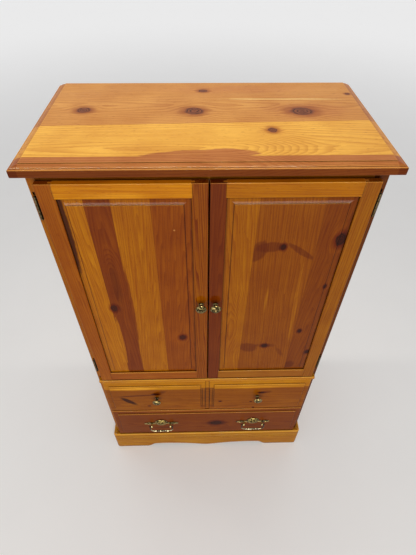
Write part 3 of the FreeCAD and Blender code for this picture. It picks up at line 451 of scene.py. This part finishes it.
# the printed reach is that of the painted shade in hollows
print("lacquer gathers in hollows within", hollow_shade_mm, "mm")

# %% [markdown]
# Lacquered pine is pale wood under a warm amber coat.  Wood and lacquer both
# have an IOR near 1.5.  The coat gives the sharp highlight, and the wood below
# it hardly shines by itself.  Both follow the rings in a faint relief, and the
# coat has the ripple of sprayed lacquer too.

# %% Lacquered pine
soft_edge_mm = 1.2
wood_relief, late_in_wood = 0.35, 0.5
coat_relief, late_in_coat, peel_mm = 0.25, 0.35, 9.0
wood_shine, coat_roughness = 0.02, 0.06


def lacquered_pine(piece, grain, face, boards, knots=(), patches=(), swells=(), taper=0.03,
                   contrast=0.5, streaks=0.5, season_mm=30.0, coat=0.2, halo=0.8,
                   knot_tones=("#060100", "#401404"), edge_stain_and_shade=0.0, field=0.0, end_strips=0.0,
                   others=()):
    """Edge-glued pine under glossy amber lacquer: grain and face name the board's directions."""
    material, tree, shader = new_finish("lacquered_pine_" + piece)
    wood = Lumber(tree, piece, grain, face)
    bent, reach = flow_round(wood, knots)
    colour, log, seams = glue_up(wood, boards, patches)
    late = year_rings(wood, bent, log, swells, taper, season_mm, contrast)
    fibres = wood.mask(fibre)
    colour = stain_over(tree, colour, [
        (late, late_wood),
        (wood.mask(streak._replace(most=streaks)), streak.tint),
        (wood.mask(cloud), cloud.tint),
        (fibres, fibre.tint),
        (wood.mask(fleck), fleck.tint),
    ])
    if knots:
        colour = draw_knots(wood, colour, reach, halo, knot_tones)
    # end-grain stain, glue lines, and painted shade on edges and at a field's foot
    colour = stain_over(tree, colour, edge_stains_and_shade(wood, seams, edge_stain_and_shade, end_strips, field))

    softened = add(tree, "Bevel", {"Radius": soft_edge_mm / MM}, samples=4)
    relief = {"Distance": relief_mm / MM, "Normal": softened}
    wood_height = add(tree, "Math", [late, late_in_wood, fibres], operation="MULTIPLY_ADD")
    peel = add(tree, "TexNoise", {"Vector": wood.mm, "Scale": 1 / peel_mm, "Detail": 1.0})
    coat_height = add(tree, "Math", [late, late_in_coat, peel], operation="MULTIPLY_ADD")
    feed(tree, shader, {
        "Base Color": wear_and_painted_light(tree, colour),
        "Roughness": wood.mask(smear),
        "Normal": add(tree, "Bump", {"Strength": wood_relief, "Height": wood_height, **relief}),
        "IOR": wood_ior,
        "Specular IOR Level": wood_shine,
        "Coat Weight": coat,
        "Coat Roughness": coat_roughness,
        "Coat IOR": lacquer_ior,
        "Coat Normal": add(tree, "Bump", {"Strength": coat_relief, "Height": coat_height, **relief}),
    })
    dress(material, [piece, *others])


def one_board(piece, grain, face, colour, rings, heart, depth=30.0, **finish):
    """A piece that is sawn from a single board."""
    lacquered_pine(piece, grain, face, [Board(0.0, colour, rings, heart, depth)], **finish)


# %% [markdown]
# ### The top
#
# The top is glued up from a dark heartwood board along the front edge, a wide
# straw-coloured board and amber boards behind.  Its knots are large and lie in
# a row, and a tongue of heartwood crosses the straw board.  It faces the
# ceiling and mirrors more light than the doors do, so its coat is a little
# thinner than theirs.

# %% The top's boards
heart_red = "#c48044"
# The upright edges of the top are darkened: stain soaked in, and painted shade.
lacquered_pine(
    "top_panel", "x", "y",
    boards=[
        Board(-60.0, heart_red, rings=6.0, heart=-60.0, depth=26.0),
        Board(14.0, "#fac454", rings=8.0, heart=58.0, depth=160.0),
        Board(205.0, "#dba052", lean=0.028, rings=10.0, heart=330.0, depth=60.0),
    ],
    knots=[
        Knot(x=-374.0, y=298.0, long=25.0, wide=22.0),
        Knot(x=-38.0, y=288.0, long=33.0, wide=28.0),
        Knot(x=291.0, y=284.0, long=42.0, wide=30.0),
        Knot(x=183.0, y=158.0, long=15.0, wide=16.0),
        Knot(x=-9.0, y=447.0, long=18.0, wide=14.0),
        Knot(x=465.0, y=417.0, long=10.0, wide=9.0),
    ],
    patches=[
        Patch(x=-30.0, y=16.0, long=176.0, wide=33.0, colour=heart_red, strength=0.95, soft=0.15, lean=0.07),
        Patch(x=44.0, y=16.0, long=66.0, wide=42.0, colour=heart_red, strength=0.95, soft=0.15),
        Patch(x=250.0, y=376.0, long=236.0, wide=5.0, colour="#ffe090", strength=0.95, soft=0.4, lean=-0.012),
        Patch(x=-58.0, y=292.0, long=100.0, wide=40.0, colour="#b4703c", strength=0.4, soft=0.9),
        Patch(x=320.0, y=286.0, long=190.0, wide=74.0, colour="#c88446", strength=0.7, soft=0.8),
        Patch(x=-382.0, y=296.0, long=74.0, wide=30.0, colour="#b4703c", strength=0.4, soft=0.9),
        Patch(x=183.0, y=158.0, long=44.0, wide=36.0, colour="#dc9c3c", strength=0.7, soft=0.6),
        Patch(x=120.0, y=460.0, long=420.0, wide=50.0, colour="#d89450", strength=0.5, soft=0.9),
    ],
    swells=[Swell(x=70.0, y=50.0, long=270.0, wide=130.0, lift=66.0, tail=4.0)],
    taper=0.05, contrast=0.36, streaks=0.25, season_mm=7.0, coat=0.16, halo=0.5,
    knot_tones=("#200a04", "#844828"), edge_stain_and_shade=1.0, end_strips=23.0)

# %% [markdown]
# ### The face frame and the sides
#
# The frame round the doors is narrow straight-grained stock, so its rings show
# as fine lines.  The side panels are glued up from three boards each, with a
# few small knots.

# %% Frame and side boards
lacquered_pine("frame_stiles", "z", "x", [
    Board(-500.0, "#b57410", rings=6.0, heart=-640.0, depth=30.0),
    # the right stile's board is darker, a painted shade
    Board(0.0, "#703c06", rings=6.0, heart=640.0, depth=30.0),
])
one_board("frame_top_rail", "x", "z", "#c08218", rings=6.0, heart=1610.0)
one_board("frame_waist_rail", "x", "z", "#b77814", rings=6.0, heart=640.0,
          others=("frame_drawer_rail", "frame_bottom_rail"))
side_boards = [
    Board(-30.0, "#ac6a14", rings=6.0, heart=40.0, depth=30.0),
    Board(150.0, "#c08218", rings=8.0, heart=230.0, depth=18.0),
    Board(335.0, "#a05c12", rings=6.0, heart=430.0, depth=26.0),
]
side_knots = {
    "left": [
        Knot(y=238.0, z=1322.0, long=15.0, wide=12.0),
        Knot(y=412.0, z=884.0, long=12.0, wide=10.0),
        Knot(y=92.0, z=566.0, long=9.0, wide=8.0),
    ],
    "right": [
        Knot(y=262.0, z=1120.0, long=16.0, wide=12.0),
        Knot(y=96.0, z=1476.0, long=10.0, wide=8.0),
        Knot(y=402.0, z=520.0, long=13.0, wide=10.0),
    ],
}
for side, knots in side_knots.items():
    lacquered_pine(side + "_side_panel", "z", "y", side_boards, knots)

# %% [markdown]
# ### The doors
#
# Each door panel is glued up from four or three boards of very different
# colour, which gives the armoire its stripes.  Stiles run the full height and
# rails fit between them, so the grain turns at each corner.  The left door's
# top rail has a painted highlight in its middle, and no other piece reaches it.

# %% Door stiles and rails
# a painted highlight in the middle of the left door's top rail
painted_rail_highlight = Patch(x=-245.0, z=1652.0, long=120.0, wide=16.0, colour="#ffbe2c", strength=0.6, soft=0.9)
for piece, grain, face, colour, rings, heart, contrast in (
    ("left_hinge_stile", "z", "x", "#a86008", 7.0, -560.0, 0.4),
    ("left_meeting_stile", "z", "x", "#9e5a02", 6.4, -150.0, 0.9),
    ("left_door_top_rail", "x", "z", "#dc940a", 8.0, 1560.0, 0.3),
    ("left_door_bottom_rail", "x", "z", "#a85e08", 7.0, 640.0, 0.35),
    ("right_meeting_stile", "z", "x", "#7c3802", 6.0, 160.0, 0.5),
    ("right_hinge_stile", "z", "x", "#a4660a", 7.5, 560.0, 0.4),
    ("right_door_top_rail", "x", "z", "#c07c02", 8.0, 1560.0, 0.3),
    ("right_door_bottom_rail", "x", "z", "#ac6e0c", 7.0, 640.0, 0.35),
):
    one_board(piece, grain, face, colour, rings, heart, depth=24.0,
              patches=[painted_rail_highlight], contrast=contrast)

# %% [markdown]
# The left panel has a golden board, a dark heartwood board with a tall arch and
# a knot, a second golden board and an amber one.  The right panel is golden,
# amber with a heart-shaped patch of darker wood, and dark with knots near its
# edge.  The glue lines lean a little, as the boards were not quite parallel.

# %% Door panels
gold, heartwood, burnt = "#c07c08", "#884204", "#6c2c02"
lacquered_pine(
    "left_door_panel", "z", "x",
    boards=[
        Board(-420.0, gold, rings=7.0, heart=-470.0, depth=20.0),
        Board(-336.5, heartwood, lean=-0.012, rings=8.0, heart=-303.0, depth=9.0),
        Board(-269.0, "#b67204", rings=6.6, heart=-120.0, depth=30.0),
        Board(-163.0, "#985002", lean=0.0046, rings=7.0, heart=-60.0, depth=26.0),
    ],
    knots=[
        Knot(x=-327.0, z=1189.0, long=18.0, wide=13.0),
        Knot(x=-96.0, z=1012.0, long=16.0, wide=13.0),
    ],
    patches=[
        # a dark band down the left bevel, a painted shade
        Patch(x=-408.0, z=1540.0, long=230.0, wide=17.0, colour="#4c2004", strength=0.95, soft=0.4),
        Patch(x=-331.0, z=990.0, long=168.0, wide=11.0, colour=gold, strength=0.95, soft=0.3),
        Patch(x=-302.0, z=1300.0, long=150.0, wide=20.0, colour="#6c3002", strength=0.6, soft=0.7),
        Patch(x=-268.0, z=1190.0, long=230.0, wide=11.0, colour=heartwood, strength=0.95, soft=0.3),
        Patch(x=-120.0, z=1012.0, long=70.0, wide=36.0, colour="#a85c04", strength=0.6, soft=0.9),
        Patch(x=-100.0, z=1532.0, long=4.0, wide=4.0, colour="#e8b468", strength=0.8, soft=0.6),
    ],
    swells=[Swell(x=-303.0, z=1370.0, long=120.0, wide=38.0, lift=34.0, tail=2.5)],
    taper=0.05, contrast=0.45, knot_tones=("#060100", "#4e1c08"), field=29.0)
lacquered_pine(
    "right_door_panel", "z", "x",
    boards=[
        Board(40.0, "#ae6c02", rings=7.5, heart=0.0, depth=24.0),
        Board(133.0, "#985602", lean=0.017, rings=8.0, heart=-80.0, depth=30.0),
        Board(325.0, "#8a4802", rings=7.0, heart=420.0, depth=22.0),
    ],
    knots=[
        Knot(x=394.0, z=1489.0, long=28.0, wide=17.0),
        Knot(x=390.0, z=1285.0, long=10.0, wide=6.0),
        Knot(x=225.0, z=1463.0, long=12.0, wide=10.0),
        Knot(x=223.0, z=948.0, long=12.0, wide=13.0),
        Knot(x=346.0, z=1041.0, long=11.0, wide=8.0),
        Knot(x=401.0, z=897.0, long=13.0, wide=9.0),
    ],
    patches=[
        Patch(x=150.0, z=1446.0, long=48.0, wide=34.0, colour=burnt, strength=0.65, soft=0.25, lean=0.3),
        Patch(x=186.0, z=1463.0, long=24.0, wide=50.0, colour=burnt, strength=0.65, soft=0.3, lean=0.5),
        Patch(x=284.0, z=1443.0, long=40.0, wide=20.0, colour=burnt, strength=0.65, soft=0.35, lean=-1.2),
        Patch(x=158.0, z=938.0, long=34.0, wide=42.0, colour=burnt, strength=0.6, soft=0.3, lean=-0.2),
        Patch(x=226.0, z=950.0, long=16.0, wide=50.0, colour=burnt, strength=0.5, soft=0.5, lean=-0.3),
        Patch(x=286.0, z=906.0, long=46.0, wide=13.0, colour=burnt, strength=0.4, soft=0.6, lean=-0.5),
        Patch(x=336.0, z=806.0, long=36.0, wide=30.0, colour="#662a04", strength=0.65, soft=0.4, lean=0.3),
        Patch(x=385.0, z=1490.0, long=70.0, wide=30.0, colour="#a85e06", strength=0.7, soft=0.9),
        Patch(x=306.0, z=1180.0, long=260.0, wide=10.0, colour="#bc7c0c", strength=0.6, soft=0.6, lean=-0.03),
        Patch(x=200.0, z=1230.0, long=90.0, wide=7.0, colour="#bc7c0c", strength=0.5, soft=0.8, lean=0.04),
    ],
    swells=[Swell(x=104.0, z=1080.0, long=230.0, wide=44.0, lift=40.0)],
    taper=0.05, contrast=0.45, field=29.0)

# %% [markdown]
# ### Drawer fronts, ledge and plinth
#
# The upper front is one board with the line between sapwood and heartwood
# running along it; its four middle grooves are darkened with painted shade, and
# a painted highlight runs along the top of its field.  The lower front is dark
# heartwood with one oval knot.  Where the two fronts meet, each lip carries a
# painted highlight, and the ledge and the plinth are pale stock with a plain
# grain.

# %% Drawer fronts, ledge and plinth
# painted shade in the four middle grooves of the upper front
groove_shade = [
    Patch(x=x, z=530.0, long=3.6, wide=130.0, colour="#381604", strength=0.6)
    for x in (-23.0, -10.3, 10.3, 23.0)
]
lacquered_pine(
    "upper_drawer_front", "x", "z",
    boards=[
        Board(0.0, "#9e5e04", rings=7.0, heart=480.0, depth=30.0),
        Board(616.0, "#d0920e", rings=7.0, heart=420.0, depth=40.0, wave=12.0),
    ],
    knots=[
        Knot(x=-236.0, z=576.0, long=14.0, wide=8.0),
        Knot(x=-277.0, z=465.0, long=6.0, wide=4.0),
        Knot(x=61.0, z=499.0, long=7.0, wide=5.0),
        Knot(x=250.0, z=575.0, long=15.0, wide=7.0),
        Knot(x=207.0, z=490.0, long=6.0, wide=4.0),
        Knot(x=224.0, z=422.0, long=5.0, wide=4.0),
    ],
    patches=[
        Patch(x=-368.0, z=515.0, long=44.0, wide=24.0, colour="#340e02", strength=0.9, lean=-0.9),
        Patch(x=-318.0, z=566.0, long=130.0, wide=9.0, colour="#632a06", strength=0.7, lean=0.08),
        Patch(x=-222.0, z=588.0, long=46.0, wide=16.0, colour="#632a06", strength=0.6, lean=0.35),
        Patch(x=268.0, z=578.0, long=40.0, wide=16.0, colour="#6e3206", strength=0.6, lean=0.2),
        Patch(x=-60.0, z=470.0, long=260.0, wide=20.0, colour="#b8740c", strength=0.4, soft=0.9),
        # painted highlight along the top edge of the field, over the pale sapwood
        Patch(x=-330.0, z=628.0, long=150.0, wide=11.0, colour="#ffc038", strength=0.8, soft=0.6),
        Patch(x=240.0, z=628.0, long=170.0, wide=9.0, colour="#f0ac24", strength=0.6, soft=0.8),
        # painted highlight along the bottom lip of the upper front
        Patch(x=0.0, z=422.0, long=440.0, wide=8.0, colour="#c47c1c", strength=0.6, soft=0.6),
    ] + groove_shade,
    contrast=0.45, coat=0.13)
lacquered_pine(
    "lower_drawer_front", "x", "z",
    boards=[Board(0.0, "#884604", rings=7.0, heart=250.0, depth=24.0)],
    knots=[Knot(x=47.0, z=267.0, long=33.0, wide=22.0)],
    patches=[
        Patch(x=49.0, z=266.0, long=90.0, wide=30.0, colour="#5c2406", strength=0.5, soft=0.9),
        # painted highlight along the top lip of the lower front
        Patch(x=0.0, z=396.0, long=440.0, wide=11.0, colour="#b4701c", strength=0.7, soft=0.6),
    ],
    contrast=0.45, coat=0.13)
one_board("waist_ledge", "x", "z", "#d09018", rings=6.0, heart=640.0, contrast=0.4)
one_board("plinth_front", "x", "z", "#c68c18", rings=7.0, heart=30.0, contrast=0.4, coat=0.13)
one_board("plinth_sides", "y", "z", "#c08618", rings=7.0, heart=30.0, contrast=0.4, coat=0.13)

# %% [markdown]
# ### The deck and the shelf
#
# The deck that the television stands on and the shelf above it are lacquered
# like the rest, because they show as soon as the doors are open.  Their boards
# are plain and pale.

# %% Deck and shelf
lacquered_pine(
    "tv_deck", "x", "y",
    boards=[
        Board(0.0, "#cc9030", rings=5.0, heart=120.0, depth=30.0),
        Board(252.0, "#bb7c24", rings=4.4, heart=380.0, depth=24.0),
    ],
    knots=[
        Knot(x=-210.0, y=152.0, long=15.0, wide=11.0),
        Knot(x=182.0, y=341.0, long=12.0, wide=9.0),
    ],
    others=("tv_shelf",))

# %% [markdown]
# ## Unlacquered wood
#
# The base, drawer boxes, runners and cleats are bare planed pine, and the back
# and the drawer bottoms are thin plywood.  Bare wood has no coat, so it stays
# pale and matt.  Its recipe is a short one: a noise stretched along the grain
# is cut into levels, and each level is a ring.

# %% Plain pine and plywood
figure_mm, figure_length = 40.0, 420.0      # how wide and long the bends of bare rings are
figure_depth_mm = 120.0                     # how far the noise shifts the rings in all
fibre_share = 28.0                          # fibres are this much finer than the figure
bare_late_from, bare_late_full = 0.35, 0.95
worn_most, worn_tint, worn_relief = 0.4, "#cdb090", 0.5
smoother, rougher = 0.06, 0.08                # how far roughness strays to each side


def bare_wood(name, grain, pale, dark, spacing, roughness, pieces):
    """Uncoated wood with rings a given distance apart along one grain direction."""
    material, tree, shader = new_finish(name)
    scale = [1 / figure_mm] * 3
    scale[axis_of[grain]] = 1 / figure_length
    stretched = add(tree, "VectorMath", [in_mm(tree), tuple(scale)], operation="MULTIPLY")
    drift = add(tree, "TexNoise", {"Vector": stretched, "Scale": 1.0, "Detail": 3.0})
    rings = add(tree, "Math", [drift, figure_depth_mm / spacing], operation="MULTIPLY")
    ring = add(tree, "Math", [rings], operation="FRACT")
    late = add(tree, "MapRange", [ring, bare_late_from, bare_late_full, 0.0, 1.0],
               interpolation_type="SMOOTHSTEP")
    fine = add(tree, "VectorMath", [stretched, (fibre_share,) * 3], operation="MULTIPLY")
    fibres = add(tree, "TexNoise", {"Vector": fine, "Scale": 1.0, "Detail": 2.0})
    worn = add(tree, "MapRange", [fibres, dim, bright, 0.0, worn_most])
    colour = add(tree, "Mix", [late, pale, dark], data_type="RGBA")
    strayed = add(tree, "MapRange", [fibres, dim, bright, roughness - smoother, roughness + rougher])
    feed(tree, shader, {
        "Base Color": stain_over(tree, colour, [(worn, worn_tint)]),
        "Roughness": strayed,
        "Normal": add(tree, "Bump", {"Strength": worn_relief, "Distance": relief_mm / MM, "Height": worn}),
        "IOR": wood_ior,
    })
    dress(material, pieces)


bare_wood("planed_pine_lengthwise", "x", "#dfb877", "#c08a4c", spacing=6.0, roughness=0.62,
          pieces=["base_panel", "upper_drawer_back", "lower_drawer_back"])
bare_wood("planed_pine_depthwise", "y", "#dcb475", "#bd874a", spacing=5.0, roughness=0.64,
          pieces=["top_cleats", "upper_drawer_sides", "lower_drawer_sides", "drawer_runners",
                  "drawer_stops"])
bare_wood("planed_pine_upright", "z", "#d6ac6c", "#b88144", spacing=5.0, roughness=0.66,
          pieces=["base_blocks"])
for name, grain, pieces in (
    ("birch_plywood_upright", "z", ["back_panel"]),
    ("birch_plywood_flat", "x", ["upper_drawer_bottom", "lower_drawer_bottom"]),
):
    bare_wood(name, grain, "#d6b284", "#c9a172", spacing=26.0, roughness=0.58, pieces=pieces)

# %% [markdown]
# ## Antique brass
#
# The knobs, pulls and hinges are cast or pressed brass, darkened by dipping and
# rubbed back on the high places.  Metallic brass keeps its yellow reflection on
# beads and rims, while the hollows stay nearly black.  Hollows are found by how
# much of the sky each point sees: within a few millimetres that is the patina in
# petals and flutes, and further off it is painted shade, on necks and in the gap
# behind a knob.  Hands keep the grip of a bail bright, so a bail is polished
# below its arms: `touched` gives the heights where that polish starts to fade
# and where it has gone.

# %% Brass and steel
# how much wide sky a place must see before the painted shade lifts
open_from, open_full = 0.4, 0.8                     # how much wide sky a bright place sees
spots_from, spots_full, spots_least = 0.4, 0.58, 0.08
arms_least = 0.03                                   # what polish is left on a bail's arms
dark_rougher = 0.25
metal_relief = 0.3


def metal(name, dark, bright_tint, near_mm, far_shade_mm, roughness, pieces, cut=(0.6, 0.98), patina_mm=4.0,
          touched=None):
    """Metal with patina in its hollows, painted shade in deeper ones, and bright where it stands proud or
    hands touch it.
    """
    material, tree, shader = new_finish(name)
    mm = in_mm(tree)
    mottle = add(tree, "TexNoise", {"Vector": mm, "Scale": 1 / patina_mm, "Detail": 3.0})
    near_sky = add(tree, "AmbientOcclusion", {"Distance": near_mm / MM}, samples=8)
    # painted shade on necks and behind knobs, found with a wider reach
    far_sky_shade = add(tree, "AmbientOcclusion", {"Distance": far_shade_mm / MM}, samples=8)
    masks = [
        add(tree, "MapRange", [near_sky.outputs["AO"], *cut, 0.0, 1.0]),
        add(tree, "MapRange", [far_sky_shade.outputs["AO"], open_from, open_full, 0.0, 1.0]),
        add(tree, "MapRange", [mottle, spots_from, spots_full, spots_least, 1.0]),
    ]
    if touched:
        height = add(tree, "SeparateXYZ", [mm]).outputs[2]
        masks.append(add(tree, "MapRange", [height, *touched, 1.0, arms_least],
                         interpolation_type="SMOOTHSTEP"))
    high = masks[0]
    for mask in masks[1:]:
        high = add(tree, "Math", [high, mask], operation="MULTIPLY")
    pitted = {"Strength": metal_relief, "Distance": relief_mm / MM, "Height": mottle}
    feed(tree, shader, {
        "Base Color": add(tree, "Mix", [high, dark, bright_tint], data_type="RGBA"),
        "Roughness": add(tree, "MapRange", [high, 0.0, 1.0, roughness + dark_rougher, roughness]),
        "Normal": add(tree, "Bump", pitted),
        "Metallic": 1.0,
    })
    dress(material, pieces)


metal("antique_brass_plates", "#080503", "#c8ae66", near_mm=3.0, far_shade_mm=14.0, roughness=0.2,
      pieces=["pull_plates"], cut=(0.84, 1.0), patina_mm=7.0)
metal("antique_brass_posts", "#0a0704", "#f0dc96", near_mm=3.0, far_shade_mm=12.0, roughness=0.16,
      pieces=["pull_posts"], cut=(0.7, 1.0), patina_mm=6.0)
metal("antique_brass_bails", "#0c0804", "#fff4c0", near_mm=4.0, far_shade_mm=10.0, roughness=0.12,
      pieces=["left_bail", "right_bail"], cut=(0.88, 0.98), patina_mm=9.0, touched=(234.0, 250.0))
metal("antique_brass_knobs", "#0c0904", "#a4905c", near_mm=3.0, far_shade_mm=20.0, roughness=0.2,
      pieces=["left_door_knob", "right_door_knob", "drawer_knobs"], cut=(0.84, 1.0), patina_mm=8.0)
metal("antique_brass_hinges", "#221c12", "#6e5f42", near_mm=4.0, far_shade_mm=10.0, roughness=0.34,
      pieces=["hinge_pins", "case_hinge_leaves", "case_hinge_screws", "left_door_hinge_leaves",
              "left_door_hinge_screws", "right_door_hinge_leaves", "right_door_hinge_screws"])
metal("zinc_plated_steel", "#6f7073", "#b9babd", near_mm=3.0, far_shade_mm=10.0, roughness=0.32,
      pieces=["top_screws", "shelf_pins", "drawer_knob_screws", "left_door_knob_screw",
              "right_door_knob_screw", "left_door_strike", "right_door_strike"])

# %% [markdown]
# ## Catch housings
#
# The magnetic catches are moulded in brown plastic with a fine spark-eroded
# texture, which scatters the light into a soft sheen.

# %% Moulded plastic
grit_mm, grit_relief, grit_height_mm = 0.8, 0.4, 0.1
catch, tree, shader = new_finish("moulded_brown_plastic")
grit = add(tree, "TexNoise", {"Vector": in_mm(tree), "Scale": 1 / grit_mm, "Detail": 2.0})
feed(tree, shader, {
    "Base Color": add(tree, "Mix", [grit, "#3a2415", "#4c3220"], data_type="RGBA"),
    "Normal": add(tree, "Bump", {"Strength": grit_relief, "Distance": grit_height_mm / MM, "Height": grit}),
    "Roughness": 0.48,
})
dress(catch, ["door_catches"])

# %% [markdown]
# ## Floor, light and camera
#
# The studio is a plain pale floor under a pale sky.  To the camera and to
# mirror-like reflections the sky and the floor are nearly white, while the
# light they give off stays plain.  The floor's glow rises with the distance, so
# that the horizon is soft and the shadow under the armoire stays.

# %% Floor
def seen_directly(tree):
    """1 for rays from the camera, a mirror or a lens, and 0 for scattered light."""
    rays = add(tree, "LightPath").outputs
    seen = add(tree, "Math", [rays["Is Camera Ray"], rays["Is Glossy Ray"]], operation="MAXIMUM")
    return add(tree, "Math", [seen, rays["Is Transmission Ray"]], operation="MAXIMUM")


floor_reach = 14.0                                  # metres from the middle to each edge
glow_near_m, glow_far_m, glow_near, glow_far = 2.0, 9.0, 0.2, 0.5
patina_per_m = 3.0
floor_mesh = bpy.data.meshes.new("studio_floor")
corners = [(x * floor_reach, y * floor_reach, 0.0) for x, y in ((-1, -1), (1, -1), (1, 1), (-1, 1))]
floor_mesh.from_pydata(corners, [], [(0, 1, 2, 3)])
floor = bpy.data.objects.new("studio_floor", floor_mesh)
bpy.context.scene.collection.objects.link(floor)
painted, tree, shader = new_finish("pale_painted_floor")
place = add(tree, "TexCoord").outputs["Object"]
patina = add(tree, "TexNoise", {"Vector": place, "Scale": patina_per_m, "Detail": 3.0})
far = add(tree, "VectorMath", [place], operation="LENGTH")
haze = add(tree, "MapRange", [far, glow_near_m, glow_far_m, glow_near, glow_far],
           interpolation_type="SMOOTHSTEP")
feed(tree, shader, {
    "Base Color": add(tree, "Mix", [patina, "#e2e1df", "#e7e6e4"], data_type="RGBA"),
    "Roughness": 0.9,
    "Specular IOR Level": 0.1,
    "Emission Color": "#fbfbfb",
    "Emission Strength": add(tree, "Math", [seen_directly(tree), haze], operation="MULTIPLY"),
})
floor_mesh.materials.append(painted)
print("floor", 2 * floor_reach, "m square")

# %% [markdown]
# A key lamp hangs high in front, a long strip on the ceiling leaves thin glints
# on the top's moulding, and a low softbox in front does the same along the
# bevels of the panels.

# %% Light
def lamp(name, place, target, wide, high, watts, colour):
    """A soft rectangular lamp that looks at a point and isn't seen by the camera itself."""
    data = bpy.data.lights.new(name, "AREA")
    data.shape = "RECTANGLE"
    data.size, data.size_y = wide, high
    data.energy = watts
    data.color = paint(colour)[:3]
    made = bpy.data.objects.new(name, data)
    made.location = place
    made.rotation_euler = (Vector(target) - Vector(place)).to_track_quat("-Z", "Y").to_euler()
    made.visible_camera = False
    bpy.context.scene.collection.objects.link(made)
    print(name, watts, "W", wide, "by", high, "m")


lamp("key_lamp", (0.35, -2.2, 3.3), (0.0, -0.1, 1.2), wide=0.5, high=0.5, watts=20.0, colour="#fff6ea")
lamp("ceiling_strip", (-0.3, 0.3, 3.5), (-0.3, 0.25, 0.0), wide=2.2, high=0.12, watts=23.0,
     colour="#fffaf2")
lamp("low_softbox", (0.0, -3.4, 0.66), (0.0, -0.2, 1.4), wide=4.4, high=0.34, watts=42.0,
     colour="#fffaf2")

# %% [markdown]
# The sky fills the shadows.  It is dimmer as a light than it looks, so that the
# lamps still draw the shapes.

# %% Sky
sky_light, sky_seen = 0.46, 0.95
world = bpy.data.worlds.new("pale_sky")
bpy.context.scene.world = world
world.use_nodes = True
tree = world.node_tree
level = add(tree, "MapRange", [seen_directly(tree), 0.0, 1.0, sky_light, sky_seen])
feed(tree, tree.nodes["Background"], {"Color": "#f4f5f8", "Strength": level})
print("sky lights at", sky_light, "and is seen at", sky_seen)

# %% [markdown]
# The camera stands a little above the top of the armoire and looks down at
# about 46 degrees, so the top and the front are both seen at a slant.  The lens
# is a wide one, which is why the plinth looks so much narrower than the top.

# %% Camera
focal_px, frame_px, sensor_mm = 396.64, 555.0, 36.0
tilt_down, turn_right, roll = 45.5662, 1.7410, 0.4748
camera_place = (-0.02888, -1.14897, 2.25247)
camera_data = bpy.data.cameras.new("studio_camera")
camera_data.sensor_width = sensor_mm
camera_data.lens = focal_px / frame_px * sensor_mm
camera = bpy.data.objects.new("studio_camera", camera_data)
camera.matrix_world = (
    Matrix.Translation(camera_place)
    @ Matrix.Rotation(math.radians(-turn_right), 4, "Z")
    @ Matrix.Rotation(math.radians(90.0 - tilt_down), 4, "X")
    @ Matrix.Rotation(math.radians(roll), 4, "Z"))
bpy.context.scene.collection.objects.link(camera)
bpy.context.scene.camera = camera
bpy.context.scene.view_settings.view_transform = "Standard"
print("lens", round(camera_data.lens, 2), "mm")
